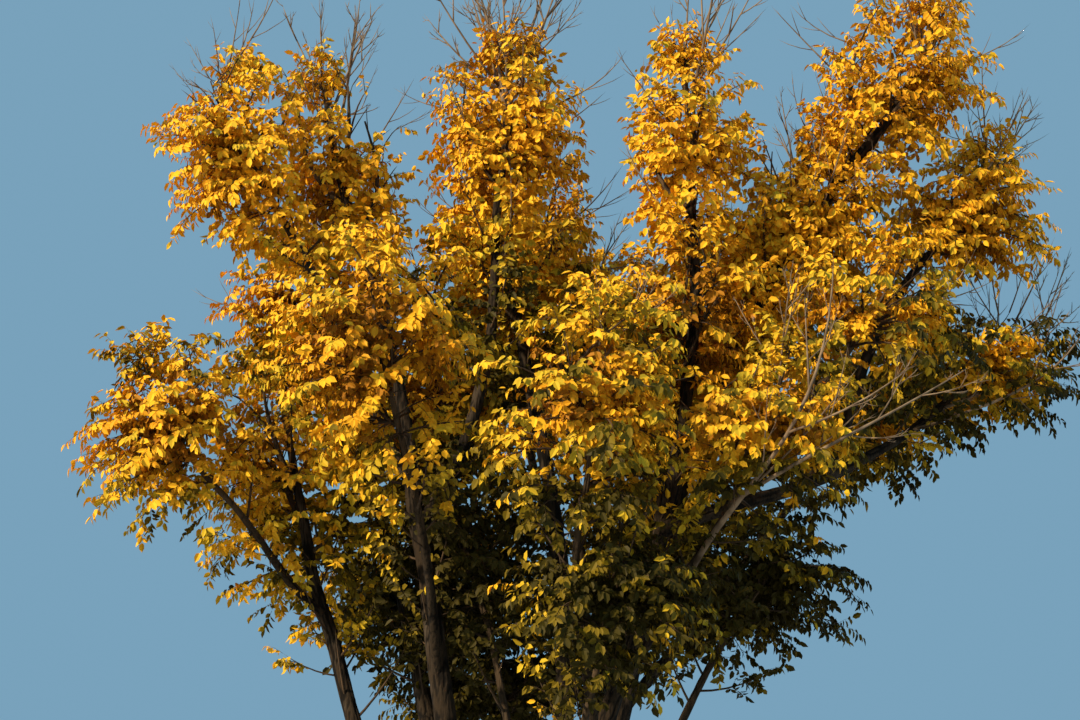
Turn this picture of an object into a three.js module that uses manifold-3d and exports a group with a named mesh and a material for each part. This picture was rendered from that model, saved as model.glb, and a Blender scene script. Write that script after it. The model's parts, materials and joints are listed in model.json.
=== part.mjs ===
// A whole elm in autumn leaf: a short flared trunk, ascending boughs in a vase, and masses of leafy
// twigs with bare dead shoots above them.
// Millimetres, +Z up. The origin is the middle of the flat cut at ground level. +X is to the right
// and +Y is away from someone who looks at the tree's front. A bearing is in degrees, from +X
// towards +Y, and a lean is in degrees from upright.
import * as THREE from "three";
import { mergeVertices } from "three/addons/utils/BufferGeometryUtils.js";
import Module from "manifold-3d";

const wasm = await Module();
wasm.setup();

// The trunk, from the ground to its fork. The flare is what the root buttresses add at the ground.
const TRUNK = {
  height: 2560,
  lean: [60, 1.2],
  footRadius: 335,
  neckRadius: 292,
  headRadius: 352,
  crownRadius: 205,
  flare: 250,
  flareHeight: 420,
  buttresses: 6,
  buttressDepth: 0.42,
};
const FORK_SPREAD = 140; // how far from the trunk's middle line its boughs begin

// Faceting and clearances.
const TRUNK_FACETS = { sides: 18, steps: 9 };
const BOUGH_FACETS = { sides: 7, steps: 7 };
const BRANCH_FACETS = { sides: 6, steps: 4 };
const STEM_FACETS = { sides: 5, steps: 3 };
const TWIG_FACETS = { sides: 3, steps: 1 };
const GAP = 0.3; // between two pieces that touch
const LIMB_CLEARANCE = 22; // least room between the foliage and the bark of a limb it passes

// How limbs bend and end, and how far a mass of foliage spreads.
const HANDLE = 0.37; // share of a limb's chord that its end directions pull on
const TIP_DEPTH = 0.74; // how far out from its mass's middle a limb ends, as a share of the mass
const NEIGHBOUR_MARGIN = 0.03; // share by which a mass keeps back from where its neighbour begins
const LEAF_LIMIT = 1.1; // how far out leaves may reach, as a share of the mass
const SHOOT_LIMIT = 9; // bare shoots may stand as far out as they like

// Growth of a mass: a stem, twigs on it and leaves on them. A leaf stands for a whole spray.
const GOLDEN_ANGLE = Math.PI * (3 - Math.sqrt(5));
const STEM_TOP = 0.62; // where the stem ends, as a share of the mass
const TWIGS_PER_METRE = 5.1; // how many twigs a mass has for each metre of its middling half size
const TWIG_DEPTH = [0.62, 0.74]; // how far out the twigs end, as a share of the mass
const TWIG_RISE = 0.2; // how far those ends are raised, because the leaves hang from them
const TWIG_SLOPE = 0.55; // how steeply a twig climbs from the stem
const TWIG_RADIUS = [20, 11];
const LEAF_SHARES = [1, 0.78, 0.54]; // places of the leaves along a twig
const LEAF_SHAPE = [0.82, 0.58]; // length and width of a leaf, for a mass's middling half size of 1
const LEAF_THICKNESS = 16;
const LEAF_ROOT = 4; // how far past the twig's middle line a leaf's root is sunk
const LEAF_HANG = [0.3, 0.8]; // how strongly leaves hang at a mass's top and at its foot
const LEAF_DROOP = 0.1; // how far a leaf's tip bends down, as a share of its length

// Swings to the side and sizes tried for a leaf, until one leaves it clear.
const LEAF_TRIES = [[1, 1], [-1, 1], [0.4, 1], [-0.4, 1], [1, 0.75], [-1, 0.75], [0, 0.75]];

// Bare shoots, each with a side shoot that leaves it at the fork.
const SHOOT_RADIUS = [13, 4];
const SIDE_SHOOT_RADIUS = [9, 4];
const SHOOT_LEAN = [16, 58];
const SHOOT_FOLLOW = 0.45; // how strongly a shoot keeps to the direction its limb ends in
const SHOOT_FORK = 0.66;
const SIDE_SHOOT_LENGTH = 0.3; // as a share of its shoot

// Each limb carries one mass of foliage. from and at: the limb it leaves, and the share of that
// limb's length. leave and arrive: bearing and lean of its two ends. radius: at its base and tip.
// heart: bearing, reach and height of the middle of its mass. size: the mass's half width, half
// depth and half height. bare: how many dead shoots stand out of it, and how long they are.
const LIMBS = {
  left_bough: {
    from: "trunk", at: 0.86, leave: [184, 38], arrive: [182, 15], radius: [112, 66],
    heart: [166, 2600, 8100], size: [1120, 1050, 1600], bare: [1, 500],
  },
  left_centre_bough: {
    from: "trunk", at: 0.93, leave: [205, 20], arrive: [166, 19], radius: [132, 72],
    heart: [170, 2150, 11560], size: [880, 1050, 1380], bare: [4, 1200],
  },
  centre_bough: {
    from: "trunk", at: 0.97, leave: [20, 9], arrive: [150, 14], radius: [118, 66],
    heart: [103, 620, 10240], size: [1150, 1150, 1200], bare: [2, 900],
  },
  spire_bough: {
    from: "trunk", at: 0.93, leave: [310, 15], arrive: [150, 3], radius: [112, 56],
    heart: [336, 1960, 11360], size: [760, 850, 1270], bare: [3, 1500],
  },
  right_bough: {
    from: "trunk", at: 0.9, leave: [345, 19], arrive: [357, 40], radius: [126, 60],
    heart: [356, 4300, 12170], size: [980, 1000, 1250], bare: [3, 800],
  },
  low_right_bough: {
    from: "spire_bough", at: 0.6, leave: [346, 74], arrive: [12, 50], radius: [78, 46],
    heart: [10, 5200, 9330], size: [1200, 1100, 740], bare: [4, 1150],
  },
  back_left_bough: {
    from: "trunk", at: 0.88, leave: [138, 26], arrive: [141, 27], radius: [118, 58],
    heart: [136, 3450, 10410], size: [1200, 1250, 1350], bare: [2, 700],
  },
  back_right_bough: {
    from: "trunk", at: 0.88, leave: [62, 27], arrive: [48, 26], radius: [120, 58],
    heart: [48, 3250, 10280], size: [1300, 1300, 1400], bare: [2, 700],
  },
  left_outer_branch: {
    from: "left_bough", at: 0.92, leave: [188, 54], arrive: [188, 44], radius: [50, 32],
    heart: [186, 3680, 8200], size: [1000, 1050, 1050], bare: [1, 600],
  },
  upper_left_branch: {
    from: "left_centre_bough", at: 0.66, leave: [190, 35], arrive: [186, 32], radius: [60, 40],
    heart: [186, 3060, 11450], size: [980, 1050, 1200], bare: [1, 600],
  },
  left_front_branch: {
    from: "left_centre_bough", at: 0.4, leave: [265, 35], arrive: [240, 28], radius: [60, 32],
    heart: [236, 2450, 8560], size: [1250, 1150, 1250], bare: [0, 0],
  },
  centre_top_branch: {
    from: "left_centre_bough", at: 0.6, leave: [5, 34], arrive: [60, 8], radius: [76, 46],
    heart: [152, 210, 11940], size: [930, 1000, 1200], bare: [6, 1500],
  },
  back_top_branch: {
    from: "centre_bough", at: 0.5, leave: [85, 32], arrive: [90, 8], radius: [66, 32],
    heart: [94, 2250, 11500], size: [1050, 1100, 1250], bare: [3, 800],
  },
  spire_inner_branch: {
    from: "spire_bough", at: 0.42, leave: [350, 30], arrive: [330, 14], radius: [52, 30],
    heart: [329, 1960, 9240], size: [1100, 1050, 1100], bare: [0, 0],
  },
  front_branch: {
    from: "spire_bough", at: 0.3, leave: [270, 38], arrive: [285, 30], radius: [58, 32],
    heart: [285, 2750, 7700], size: [1150, 1050, 1150], bare: [1, 400],
  },
  low_front_branch: {
    from: "trunk", at: 0.78, leave: [292, 36], arrive: [300, 28], radius: [68, 32],
    heart: [296, 2050, 6180], size: [1050, 1000, 950], bare: [0, 0],
  },
  right_inner_branch: {
    from: "right_bough", at: 0.56, leave: [20, 12], arrive: [350, 12], radius: [62, 40],
    heart: [5, 3150, 10850], size: [980, 1050, 1250], bare: [3, 1000],
  },
  right_middle_branch: {
    from: "right_bough", at: 0.52, leave: [345, 48], arrive: [336, 48], radius: [62, 38],
    heart: [341, 3850, 9150], size: [1200, 1100, 950], bare: [0, 0],
  },
  right_outer_branch: {
    from: "low_right_bough", at: 0.52, leave: [350, 28], arrive: [6, 42], radius: [70, 46],
    heart: [5, 5000, 11050], size: [960, 1050, 1040], bare: [2, 900],
  },
  right_front_branch: {
    from: "spire_bough", at: 0.38, leave: [318, 44], arrive: [318, 40], radius: [60, 32],
    heart: [317, 3250, 7640], size: [1150, 1050, 950], bare: [2, 800],
  },
  lower_right_branch: {
    from: "trunk", at: 0.82, leave: [14, 34], arrive: [12, 32], radius: [76, 34],
    heart: [14, 2600, 6860], size: [1200, 1050, 880], bare: [0, 0],
  },
  back_left_inner_branch: {
    from: "back_left_bough", at: 0.44, leave: [80, 30], arrive: [105, 22], radius: [66, 34],
    heart: [109, 3100, 9650], size: [1300, 1250, 1450], bare: [0, 0],
  },
  back_low_left_branch: {
    from: "back_left_bough", at: 0.28, leave: [100, 38], arrive: [112, 34], radius: [58, 32],
    heart: [114, 2650, 7150], size: [1300, 1200, 1100], bare: [0, 0],
  },
  back_far_right_branch: {
    from: "back_right_bough", at: 0.42, leave: [20, 42], arrive: [33, 40], radius: [68, 34],
    heart: [34, 5000, 9650], size: [1250, 1150, 1150], bare: [1, 600],
  },
  back_outer_branch: {
    from: "back_right_bough", at: 0.46, leave: [100, 34], arrive: [84, 26], radius: [68, 34],
    heart: [80, 4150, 10700], size: [1300, 1150, 1350], bare: [4, 1200],
  },
  back_low_right_branch: {
    from: "back_right_bough", at: 0.28, leave: [75, 44], arrive: [66, 42], radius: [60, 32],
    heart: [66, 3700, 7700], size: [1300, 1200, 1100], bare: [0, 0],
  },
  inner_low_branch: {
    from: "centre_bough", at: 0.24, leave: [190, 40], arrive: [180, 18], radius: [50, 30],
    heart: [160, 700, 7250], size: [950, 900, 1100], bare: [0, 0],
  },
  low_back_branch: {
    from: "trunk", at: 0.8, leave: [96, 40], arrive: [94, 30], radius: [62, 32],
    heart: [97, 1750, 6050], size: [1150, 950, 950], bare: [0, 0],
  },
};

const BARK = new THREE.MeshStandardMaterial({ color: 0x4b3a2c, roughness: 0.95, metalness: 0 });
const GOLD = new THREE.MeshStandardMaterial({ color: 0xd79a1c, roughness: 0.7, metalness: 0 });
const OLIVE = new THREE.MeshStandardMaterial({ color: 0x7d6a1e, roughness: 0.7, metalness: 0 });
const OLIVE_LIMBS = [
  "lower_right_branch", "low_front_branch", "back_low_left_branch", "back_low_right_branch",
  "inner_low_branch", "low_back_branch",
];

const { clamp, degToRad, lerp, radToDeg, smoothstep } = THREE.MathUtils;
const vector = (x, y, z) => new THREE.Vector3(x, y, z);
const UP = vector(0, 0, 1);

// A unit vector with the given bearing and lean.
function heading([bearing, lean]) {
  const across = Math.sin(degToRad(lean));
  const [x, y] = [Math.cos(degToRad(bearing)), Math.sin(degToRad(bearing))];
  return vector(across * x, across * y, Math.cos(degToRad(lean)));
}

// Numbers from 0 to 1 that are the same on every run.
function seeded(seed) {
  let state = seed >>> 0;
  return () => {
    state = (Math.imul(state, 1664525) + 1013904223) >>> 0;
    return state / 4294967296;
  };
}

// A closed geometry as a solid for joining and cutting.
function solidOf(geometry) {
  const bare = geometry.clone();
  bare.deleteAttribute("normal");
  bare.deleteAttribute("uv");
  const merged = mergeVertices(bare, 1e-3);
  const vertProperties = merged.attributes.position.array;
  const triVerts = new Uint32Array(merged.index.array);
  return new wasm.Manifold(new wasm.Mesh({ numProp: 3, vertProperties, triVerts }));
}

// A joined or cut solid as flat-shaded geometry.
function geometryOf(solid) {
  const mesh = solid.getMesh();
  const geometry = new THREE.BufferGeometry()
    .setAttribute("position", new THREE.BufferAttribute(mesh.vertProperties, mesh.numProp))
    .setIndex(new THREE.BufferAttribute(mesh.triVerts, 1))
    .toNonIndexed();
  geometry.computeVertexNormals();
  return geometry;
}

// What a cut or a join leaves loose is dropped.
function largest(solid) {
  return solid.decompose().reduce((a, b) => (a.volume() > b.volume() ? a : b));
}

function clearOf(solid, other) {
  const [a, b] = [solid.boundingBox(), other.boundingBox()];
  const apart = [0, 1, 2].some((k) => a.min[k] > b.max[k] || b.min[k] > a.max[k]);
  return apart || solid.intersect(other).isEmpty();
}

// Moves each point of an upright unit cylinder: place(share along it, angle, whether on its axis).
function reshape({ sides, steps }, place) {
  const geometry = new THREE.CylinderGeometry(1, 1, 1, sides, steps);
  const points = geometry.attributes.position;
  for (let i = 0; i < points.count; i++) {
    const [x, z] = [points.getX(i), points.getZ(i)];
    const point = place(points.getY(i) + 0.5, Math.atan2(x, z), Math.hypot(x, z) < 0.5);
    points.setXYZ(i, point.x, point.y, point.z);
  }
  return geometry;
}

// A tapering tube along a curve.
function tube(curve, [base, tip], facets) {
  const chord = curve.getPoint(1).sub(curve.getPoint(0));
  const across = chord.clone().cross(UP);
  if (across.length() < 0.02 * chord.length()) across.set(1, 0, 0);
  return reshape(facets, (share, angle, onAxis) => {
    const along = curve.getTangent(share);
    const side = across.clone().addScaledVector(along, -across.dot(along)).normalize();
    const top = along.clone().cross(side);
    const radius = onAxis ? 0 : lerp(base, tip, share);
    return curve.getPoint(share)
      .addScaledVector(side, -radius * Math.sin(angle))
      .addScaledVector(top, radius * Math.cos(angle));
  });
}

// The trunk's line and its radius: buttresses that die away upwards, a neck, and a head that the
// boughs leave.
const trunkLine = new THREE.LineCurve3(
  vector(0, 0, 0),
  heading(TRUNK.lean).setZ(1).multiplyScalar(TRUNK.height),
);

function trunkRadius(share, angle) {
  const { footRadius, neckRadius, headRadius, crownRadius, buttresses, buttressDepth } = TRUNK;
  const ridge = 1 + buttressDepth * Math.cos(buttresses * angle + 0.7 * Math.sin(angle));
  const flare = TRUNK.flare * Math.exp((-share * TRUNK.height) / TRUNK.flareHeight) * ridge;
  const taper = lerp(footRadius, neckRadius, Math.min(share / 0.55, 1));
  const swell = (headRadius - neckRadius) * smoothstep(share, 0.55, 0.86);
  const dome = (headRadius - crownRadius) * smoothstep(share, 0.86, 1);
  return taper + swell - dome + flare;
}

// Its rings are level, so the cut at the ground is flat, and they crowd together in the flare.
function trunkGeometry(extra) {
  return reshape(TRUNK_FACETS, (step, angle, onAxis) => {
    const share = step ** 1.6;
    const radius = onAxis ? 0 : trunkRadius(share, angle) + extra;
    return trunkLine.getPoint(share).add(vector(radius * Math.cos(angle), radius * Math.sin(angle), 0));
  });
}

// Each limb's line, from inside the limb that carries it to just inside its own mass.
const lines = new Map([["trunk", trunkLine]]);

function middleOf({ heart: [bearing, reach, height] }) {
  return heading([bearing, 90]).multiplyScalar(reach).setZ(height);
}

const middling = ({ size }) => (size[0] + size[1] + size[2]) / 3;

// How far it is from a mass's middle to its outside in a direction.
function reachOf({ size }, direction) {
  const [a, b, c] = direction.toArray().map((d, k) => d / size[k]);
  return 1 / Math.hypot(a, b, c);
}

function limbLine(limb) {
  const [leave, arrive] = [heading(limb.leave), heading(limb.arrive)];
  const start = lines.get(limb.from).getPoint(limb.at);
  if (limb.from === "trunk") start.addScaledVector(heading([limb.leave[0], 90]), FORK_SPREAD);
  const tip = middleOf(limb).addScaledVector(arrive, -TIP_DEPTH * reachOf(limb, arrive));
  const pull = HANDLE * tip.distanceTo(start);
  const rise = start.clone().addScaledVector(leave, pull);
  const fall = tip.clone().addScaledVector(arrive, -pull);
  return new THREE.CubicBezierCurve3(start, rise, fall, tip);
}

function limbGeometry(name, limb, extra) {
  const facets = name.endsWith("_bough") ? BOUGH_FACETS : BRANCH_FACETS;
  return tube(lines.get(name), limb.radius.map((radius) => radius + extra), facets);
}

// Every limb is cut by a grown copy of the limbs before it, so that it meets them with a gap.
const woods = new Map([["trunk", solidOf(trunkGeometry(0))]]);
let grownWood = solidOf(trunkGeometry(GAP));
for (const [name, limb] of Object.entries(LIMBS)) {
  lines.set(name, limbLine(limb));
  woods.set(name, largest(solidOf(limbGeometry(name, limb, 0)).subtract(grownWood)));
  grownWood = grownWood.add(solidOf(limbGeometry(name, limb, GAP)));
}

// Straight stretches of every limb, to keep foliage off the wood.
const stretches = Object.entries(LIMBS).flatMap(([name, limb]) => {
  const points = lines.get(name).getPoints(24);
  return points.slice(1).map((end, i) => ({
    name,
    line: new THREE.Line3(points[i], end),
    room: lerp(...limb.radius, i / 24) + LIMB_CLEARANCE,
  }));
});

function touchesWood(point, own) {
  const nearest = vector(0, 0, 0);
  return stretches.some(({ name, line, room }) =>
    name !== own && line.closestPointToPoint(point, true, nearest).distanceTo(point) < room);
}

// A place in a mass's own measure: 0 at its middle and 1 on its outside.
function depthIn(limb, point) {
  return Math.hypot(...point.clone().sub(limb.middle).toArray().map((d, k) => d / limb.size[k]));
}

// A mass keeps to the places that lie deeper in it than in any neighbour.
function ownPlace(name, point, limit) {
  const own = depthIn(LIMBS[name], point);
  return own < limit && Object.entries(LIMBS).every(([other, limb]) =>
    other === name || own < depthIn(limb, point) - NEIGHBOUR_MARGIN);
}

// The stem that a mass grows on, from the end of its limb through its middle.
function stemLine(name, limb) {
  const arrive = heading(limb.arrive);
  const base = lines.get(name).getPoint(1).addScaledVector(arrive, GAP);
  const upward = arrive.clone().add(UP).normalize();
  const top = limb.middle.clone().addScaledVector(upward, STEM_TOP * reachOf(limb, upward));
  const bend = base.clone().addScaledVector(arrive, 0.5 * base.distanceTo(top));
  return new THREE.QuadraticBezierCurve3(base, bend, top);
}

// A place on the middle line of the faceted stem.
function onStem(stem, share) {
  const step = Math.min(Math.floor(share * STEM_FACETS.steps), STEM_FACETS.steps - 1);
  const [low, high] = [step, step + 1].map((i) => stem.getPoint(i / STEM_FACETS.steps));
  return low.lerp(high, share * STEM_FACETS.steps - step);
}

// Where twig k of count ends: places spread evenly round the mass by the golden angle.
function twigEnd(limb, k, count, random) {
  const height = 1 - (2 * k + 1) / count;
  const around = k * GOLDEN_ANGLE + limb.turn + 0.5 * random();
  const depth = lerp(...TWIG_DEPTH, random());
  const flat = depth * Math.sqrt(1 - height * height);
  const [wide, deep, tall] = limb.size;
  return limb.middle.clone().add(vector(
    wide * flat * Math.cos(around),
    deep * flat * Math.sin(around),
    tall * (depth * height + TWIG_RISE),
  ));
}

// A twig leaves the stem low enough to climb to its end.
function twigLine(stem, end) {
  const [low, high] = [stem.getPoint(0), stem.getPoint(1)];
  const aside = Math.hypot(end.x - low.x, end.y - low.y);
  const share = (end.z - TWIG_SLOPE * aside - low.z) / (high.z - low.z);
  return new THREE.LineCurve3(onStem(stem, clamp(share, 0.06, 0.94)), end);
}

function lineFits(name, line, shares, limit) {
  return shares.every((share) => {
    const point = line.getPoint(share);
    return ownPlace(name, point, limit) && !touchesWood(point, name);
  });
}

// A leaf is an octahedron drawn out to a pointed oval that droops, with its root sunk in the twig.
function leafGeometry(root, along, normal, [length, width]) {
  const geometry = new THREE.OctahedronGeometry(1);
  const side = normal.clone().cross(along).normalize();
  const face = along.clone().cross(side);
  const place = geometry.attributes.position;
  for (let i = 0; i < place.count; i++) {
    const [x, y, z] = [place.getX(i), place.getY(i), place.getZ(i)];
    const share = x < -0.5 ? 0 : x > 0.5 ? 1 : 0.46;
    const point = root.clone().addScaledVector(along, share * length)
      .addScaledVector(side, (y * width) / 2)
      .addScaledVector(face, (z * LEAF_THICKNESS) / 2)
      .addScaledVector(UP, -LEAF_DROOP * length * share * share);
    place.setXYZ(i, point.x, point.y, point.z);
  }
  return geometry;
}

// Leaf n of a twig: on alternate sides, hanging, its face turned out of its mass and of the crown.
function leafAt(limb, line, n, [turn, smaller], whim) {
  const grip = line.getPoint(Math.min(LEAF_SHARES[n], 0.97));
  const forward = line.getTangent(0);
  const aside = forward.clone().cross(UP).normalize();
  const lowness = clamp(0.5 - (grip.z - limb.middle.z) / (2 * limb.size[2]), 0, 1);
  const swing = turn * (n === 0 ? 0.4 : 0.85) * (n % 2 ? 1 : -1) * whim.side;
  const along = forward.multiplyScalar(0.4)
    .addScaledVector(aside, swing)
    .addScaledVector(UP, -lerp(...LEAF_HANG, lowness))
    .normalize();
  const normal = grip.clone().sub(limb.middle).normalize()
    .addScaledVector(vector(grip.x, grip.y, 0).normalize(), 0.7)
    .addScaledVector(UP, 0.35 + whim.tilt)
    .addScaledVector(aside, whim.roll);
  const root = grip.addScaledVector(along, -LEAF_ROOT);
  const shape = LEAF_SHAPE.map((d) => d * middling(limb) * whim.scale * smaller);
  return leafGeometry(root, along, normal, shape);
}

// Tests a leaf at its corners and halfway between them and its middle.
function leafFits(name, geometry) {
  geometry.computeBoundingSphere();
  const corners = geometry.attributes.position;
  return Array.from({ length: corners.count }).every((_, i) => {
    const corner = vector(0, 0, 0).fromBufferAttribute(corners, i);
    const inner = corner.clone().lerp(geometry.boundingSphere.center, 0.5);
    return [corner, inner].every((p) => ownPlace(name, p, LEAF_LIMIT) && !touchesWood(p, ""));
  });
}

// A dead shoot without leaves, which stands up and out of the mass, and its side shoot.
function bareShoot(limb, stem, k, random) {
  const around = radToDeg(k * GOLDEN_ANGLE + limb.turn);
  const way = heading([around, lerp(...SHOOT_LEAN, random())])
    .addScaledVector(heading(limb.arrive), SHOOT_FOLLOW).normalize();
  const start = onStem(stem, lerp(0.62, 0.92, random()));
  const reach = 0.75 * reachOf(limb, way) + limb.bare[1] * lerp(0.65, 1, random());
  const line = new THREE.LineCurve3(start, start.clone().addScaledVector(way, reach));
  const fork = line.getPoint(SHOOT_FORK);
  const sideWay = heading([around + lerp(-50, 50, random()), 40]);
  const sideEnd = fork.clone().addScaledVector(sideWay, SIDE_SHOOT_LENGTH * reach);
  return [line, new THREE.LineCurve3(fork, sideEnd)];
}

// One mass: its stem, twigs, leaves and bare shoots. Each piece is kept only where it stays in the
// mass's own space, clear of the wood, of the masses before it and of the mass's other pieces.
function growMass(name, limb) {
  const random = seeded(limb.seed);
  const leafRandom = seeded(limb.seed + 77);
  const stem = stemLine(name, limb);
  const stemSolid = solidOf(tube(stem, [limb.radius[1] * 0.96, limb.radius[1] * 0.4], STEM_FACETS));
  const pieces = [stemSolid];
  const keep = (geometry, carrier) => {
    const solid = solidOf(geometry);
    const rest = pieces.filter((piece) => piece !== carrier);
    const fits = [grownWood, ...masses.values(), ...rest].every((other) => clearOf(solid, other));
    if (fits) pieces.push(solid);
    return fits ? solid : null;
  };
  const count = Math.round((TWIGS_PER_METRE * middling(limb)) / 1000);
  for (let k = 0; k < count; k++) {
    const line = twigLine(stem, twigEnd(limb, k, count, random));
    if (!lineFits(name, line, [0.35, 0.6, 0.8, 1], 1.05)) continue;
    const twig = keep(tube(line, TWIG_RADIUS, TWIG_FACETS), stemSolid);
    for (let n = 0; twig && n < LEAF_SHARES.length; n++) {
      const whim = {
        side: leafRandom() < 0.5 ? 1 : -1,
        tilt: lerp(0, 0.3, leafRandom()),
        roll: lerp(-0.2, 0.2, leafRandom()),
        scale: lerp(0.86, 1.14, leafRandom()),
      };
      LEAF_TRIES.some((attempt) => {
        const leaf = leafAt(limb, line, n, attempt, whim);
        return leafFits(name, leaf) && keep(leaf, twig);
      });
    }
  }
  for (let k = 0; k < limb.bare[0]; k++) {
    const [line, side] = bareShoot(limb, stem, k, random);
    if (!lineFits(name, line, [0.4, 0.7, 1], SHOOT_LIMIT)) continue;
    const shoot = keep(tube(line, SHOOT_RADIUS, TWIG_FACETS), stemSolid);
    if (shoot) keep(tube(side, SIDE_SHOOT_RADIUS, TWIG_FACETS), shoot);
  }
  return largest(wasm.Manifold.union(pieces));
}

Object.values(LIMBS).forEach((limb, i) => {
  limb.middle = middleOf(limb);
  limb.seed = 1000 + 37 * i;
  limb.turn = 0.9 * i;
});
const masses = new Map();
for (const [name, limb] of Object.entries(LIMBS)) masses.set(name, growMass(name, limb));

function meshOf(name, solid, material) {
  const mesh = new THREE.Mesh(geometryOf(solid), material);
  mesh.name = name;
  return mesh;
}

const elm = new THREE.Group();
for (const [name, solid] of woods) elm.add(meshOf(name, solid, BARK));
for (const [name, solid] of masses) {
  const leaves = OLIVE_LIMBS.includes(name) ? OLIVE : GOLD;
  elm.add(meshOf(name.replace(/_(bough|branch)$/, "_foliage"), solid, leaves));
}

export default elm;
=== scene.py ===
"""The looks of a whole elm in autumn leaf: furrowed bark, twigs, hanging leaves and bare shoots.

Metres, +Z up. The origin is the middle of the flat cut at ground level. A bearing is in degrees,
from +X towards +Y, and a lean is in degrees from upright.
"""

import json
import math

import bmesh
import bpy
import numpy as np
from bpy.props import FloatProperty, FloatVectorProperty, IntProperty, PointerProperty
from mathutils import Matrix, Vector

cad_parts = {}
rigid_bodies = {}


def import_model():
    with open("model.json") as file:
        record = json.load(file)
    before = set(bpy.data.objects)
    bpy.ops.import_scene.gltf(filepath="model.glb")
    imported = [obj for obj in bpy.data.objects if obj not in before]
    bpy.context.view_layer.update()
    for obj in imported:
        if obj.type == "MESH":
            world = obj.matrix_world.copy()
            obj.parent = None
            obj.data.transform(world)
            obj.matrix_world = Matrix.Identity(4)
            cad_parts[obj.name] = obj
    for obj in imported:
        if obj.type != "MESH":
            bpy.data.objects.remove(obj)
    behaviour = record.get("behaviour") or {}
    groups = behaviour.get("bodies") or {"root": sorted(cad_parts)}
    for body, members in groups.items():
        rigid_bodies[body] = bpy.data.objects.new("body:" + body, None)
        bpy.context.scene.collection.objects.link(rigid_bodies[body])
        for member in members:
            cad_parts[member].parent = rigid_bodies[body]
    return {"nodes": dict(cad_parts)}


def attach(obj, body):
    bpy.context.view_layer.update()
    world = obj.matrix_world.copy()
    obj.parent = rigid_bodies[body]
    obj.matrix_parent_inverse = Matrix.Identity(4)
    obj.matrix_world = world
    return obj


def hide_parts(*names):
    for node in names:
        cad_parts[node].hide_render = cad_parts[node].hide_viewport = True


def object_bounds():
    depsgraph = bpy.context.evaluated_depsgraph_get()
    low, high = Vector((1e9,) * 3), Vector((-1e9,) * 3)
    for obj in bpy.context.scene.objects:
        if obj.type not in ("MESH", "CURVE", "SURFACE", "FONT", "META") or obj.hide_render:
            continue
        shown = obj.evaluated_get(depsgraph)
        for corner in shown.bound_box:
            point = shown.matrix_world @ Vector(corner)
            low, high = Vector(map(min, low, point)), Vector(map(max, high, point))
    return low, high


bl_info = {
    "name": "Autumn elm",
    "version": (1, 0, 0),
    "blender": (4, 5, 0),
    "location": "3D View > Sidebar > Elm",
    "description": "Grows a whole elm in autumn leaf on the solids of its trunk and limbs",
    "category": "Object",
}

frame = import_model()
SOLID_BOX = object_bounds()
WOOD_NODES = [name for name in frame["nodes"] if not name.endswith("_foliage")]
FOLIAGE_NODES = [name for name in frame["nodes"] if name.endswith("_foliage")]

# The trunk, as its solid has it. Its neck and its head are at shares of its height.
TRUNK = dict(
    height=2.56, lean=(60, 1.2), foot=0.335, neck=0.292, head=0.352, crown=0.205,
    neck_at=0.55, head_at=0.86, flare=0.25, flare_height=0.42,
    buttresses=6, buttress_depth=0.42, buttress_shift=0.7,
)
FORK_SPREAD = 0.14  # how far from the trunk's middle line its boughs begin

# Limbs and masses of foliage. A depth in a mass is 0 at its middle and 1 on its outside.
HANDLE = 0.37  # how stiffly a limb leaves its parent and arrives at its tip
TIP_DEPTH = 0.74  # the depth at which a limb ends in its mass
STEM_TOP = 0.62  # the depth at which its stem ends, above the middle
LEADER_REACH = 0.3  # how much further the stem's thin leader reaches
STEM_TAPER = 0.4  # the thickness of the stem's top, as a share of its foot's
LEADER_TIP = 0.004  # the radius of the leader's tip
NEIGHBOUR_MARGIN = 0.03  # how much nearer to its own mass than to any other a twig ends
LEAF_LIMIT = 1.17  # the greatest depth at which twiglets, twigs and bare shoots end
TWIG_LIMIT = 1.12
SHOOT_LIMIT = 9
CLEARANCE = 0.03  # how far twigs keep off the bark of limbs, and how far their ends do
END_CLEARANCE = 0.05
TWIG_SLOPE = 0.55  # how far a twig climbs for each metre that it reaches outwards
GOLDEN_ANGLE = math.pi * (3 - math.sqrt(5))
LIMB_TWIGS_FROM = 0.42  # the share of a limb's length from which twigs grow on the limb itself
LEAFIER = {"right_bough": 5}  # limbs with more twigs of their own than the others, and by how much
LOWEST_TWIG = 5.3  # no twig ends lower than this

# Each stem forks. shares: where its forks leave it. lean and depth: where in their mass they end.
# out and up: how far they bend. radius: at both ends, as shares of the limb's own at its tip.
FORKS = dict(
    shares=(0.1, 0.28, 0.46), lean=40, depth=0.8, out=0.4, up=0.3, radius=(0.6, 0.16), rings=14,
)

# Bare shoots, each with side shoots. The solids' masses draw two numbers for each of their twigs
# before those of their shoots.
SOLID_TWIGS_PER_METRE = 5.1
SHOOT_LEAN = (16, 58)  # the least and most, before a shoot follows its limb
SHOOT_FOLLOW = 0.45  # how strongly a shoot keeps to the direction its limb ends in
SHOOTS_FROM = (0.62, 0.92)  # the shares of its stem between which a shoot leaves
SHOOT_DEPTH = 0.75  # how far a shoot runs within its mass
SHOOT_FORK = 0.66  # where a shoot forks, and how long its side shoot is
SIDE_SHOOT_LENGTH = 0.3

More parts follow.
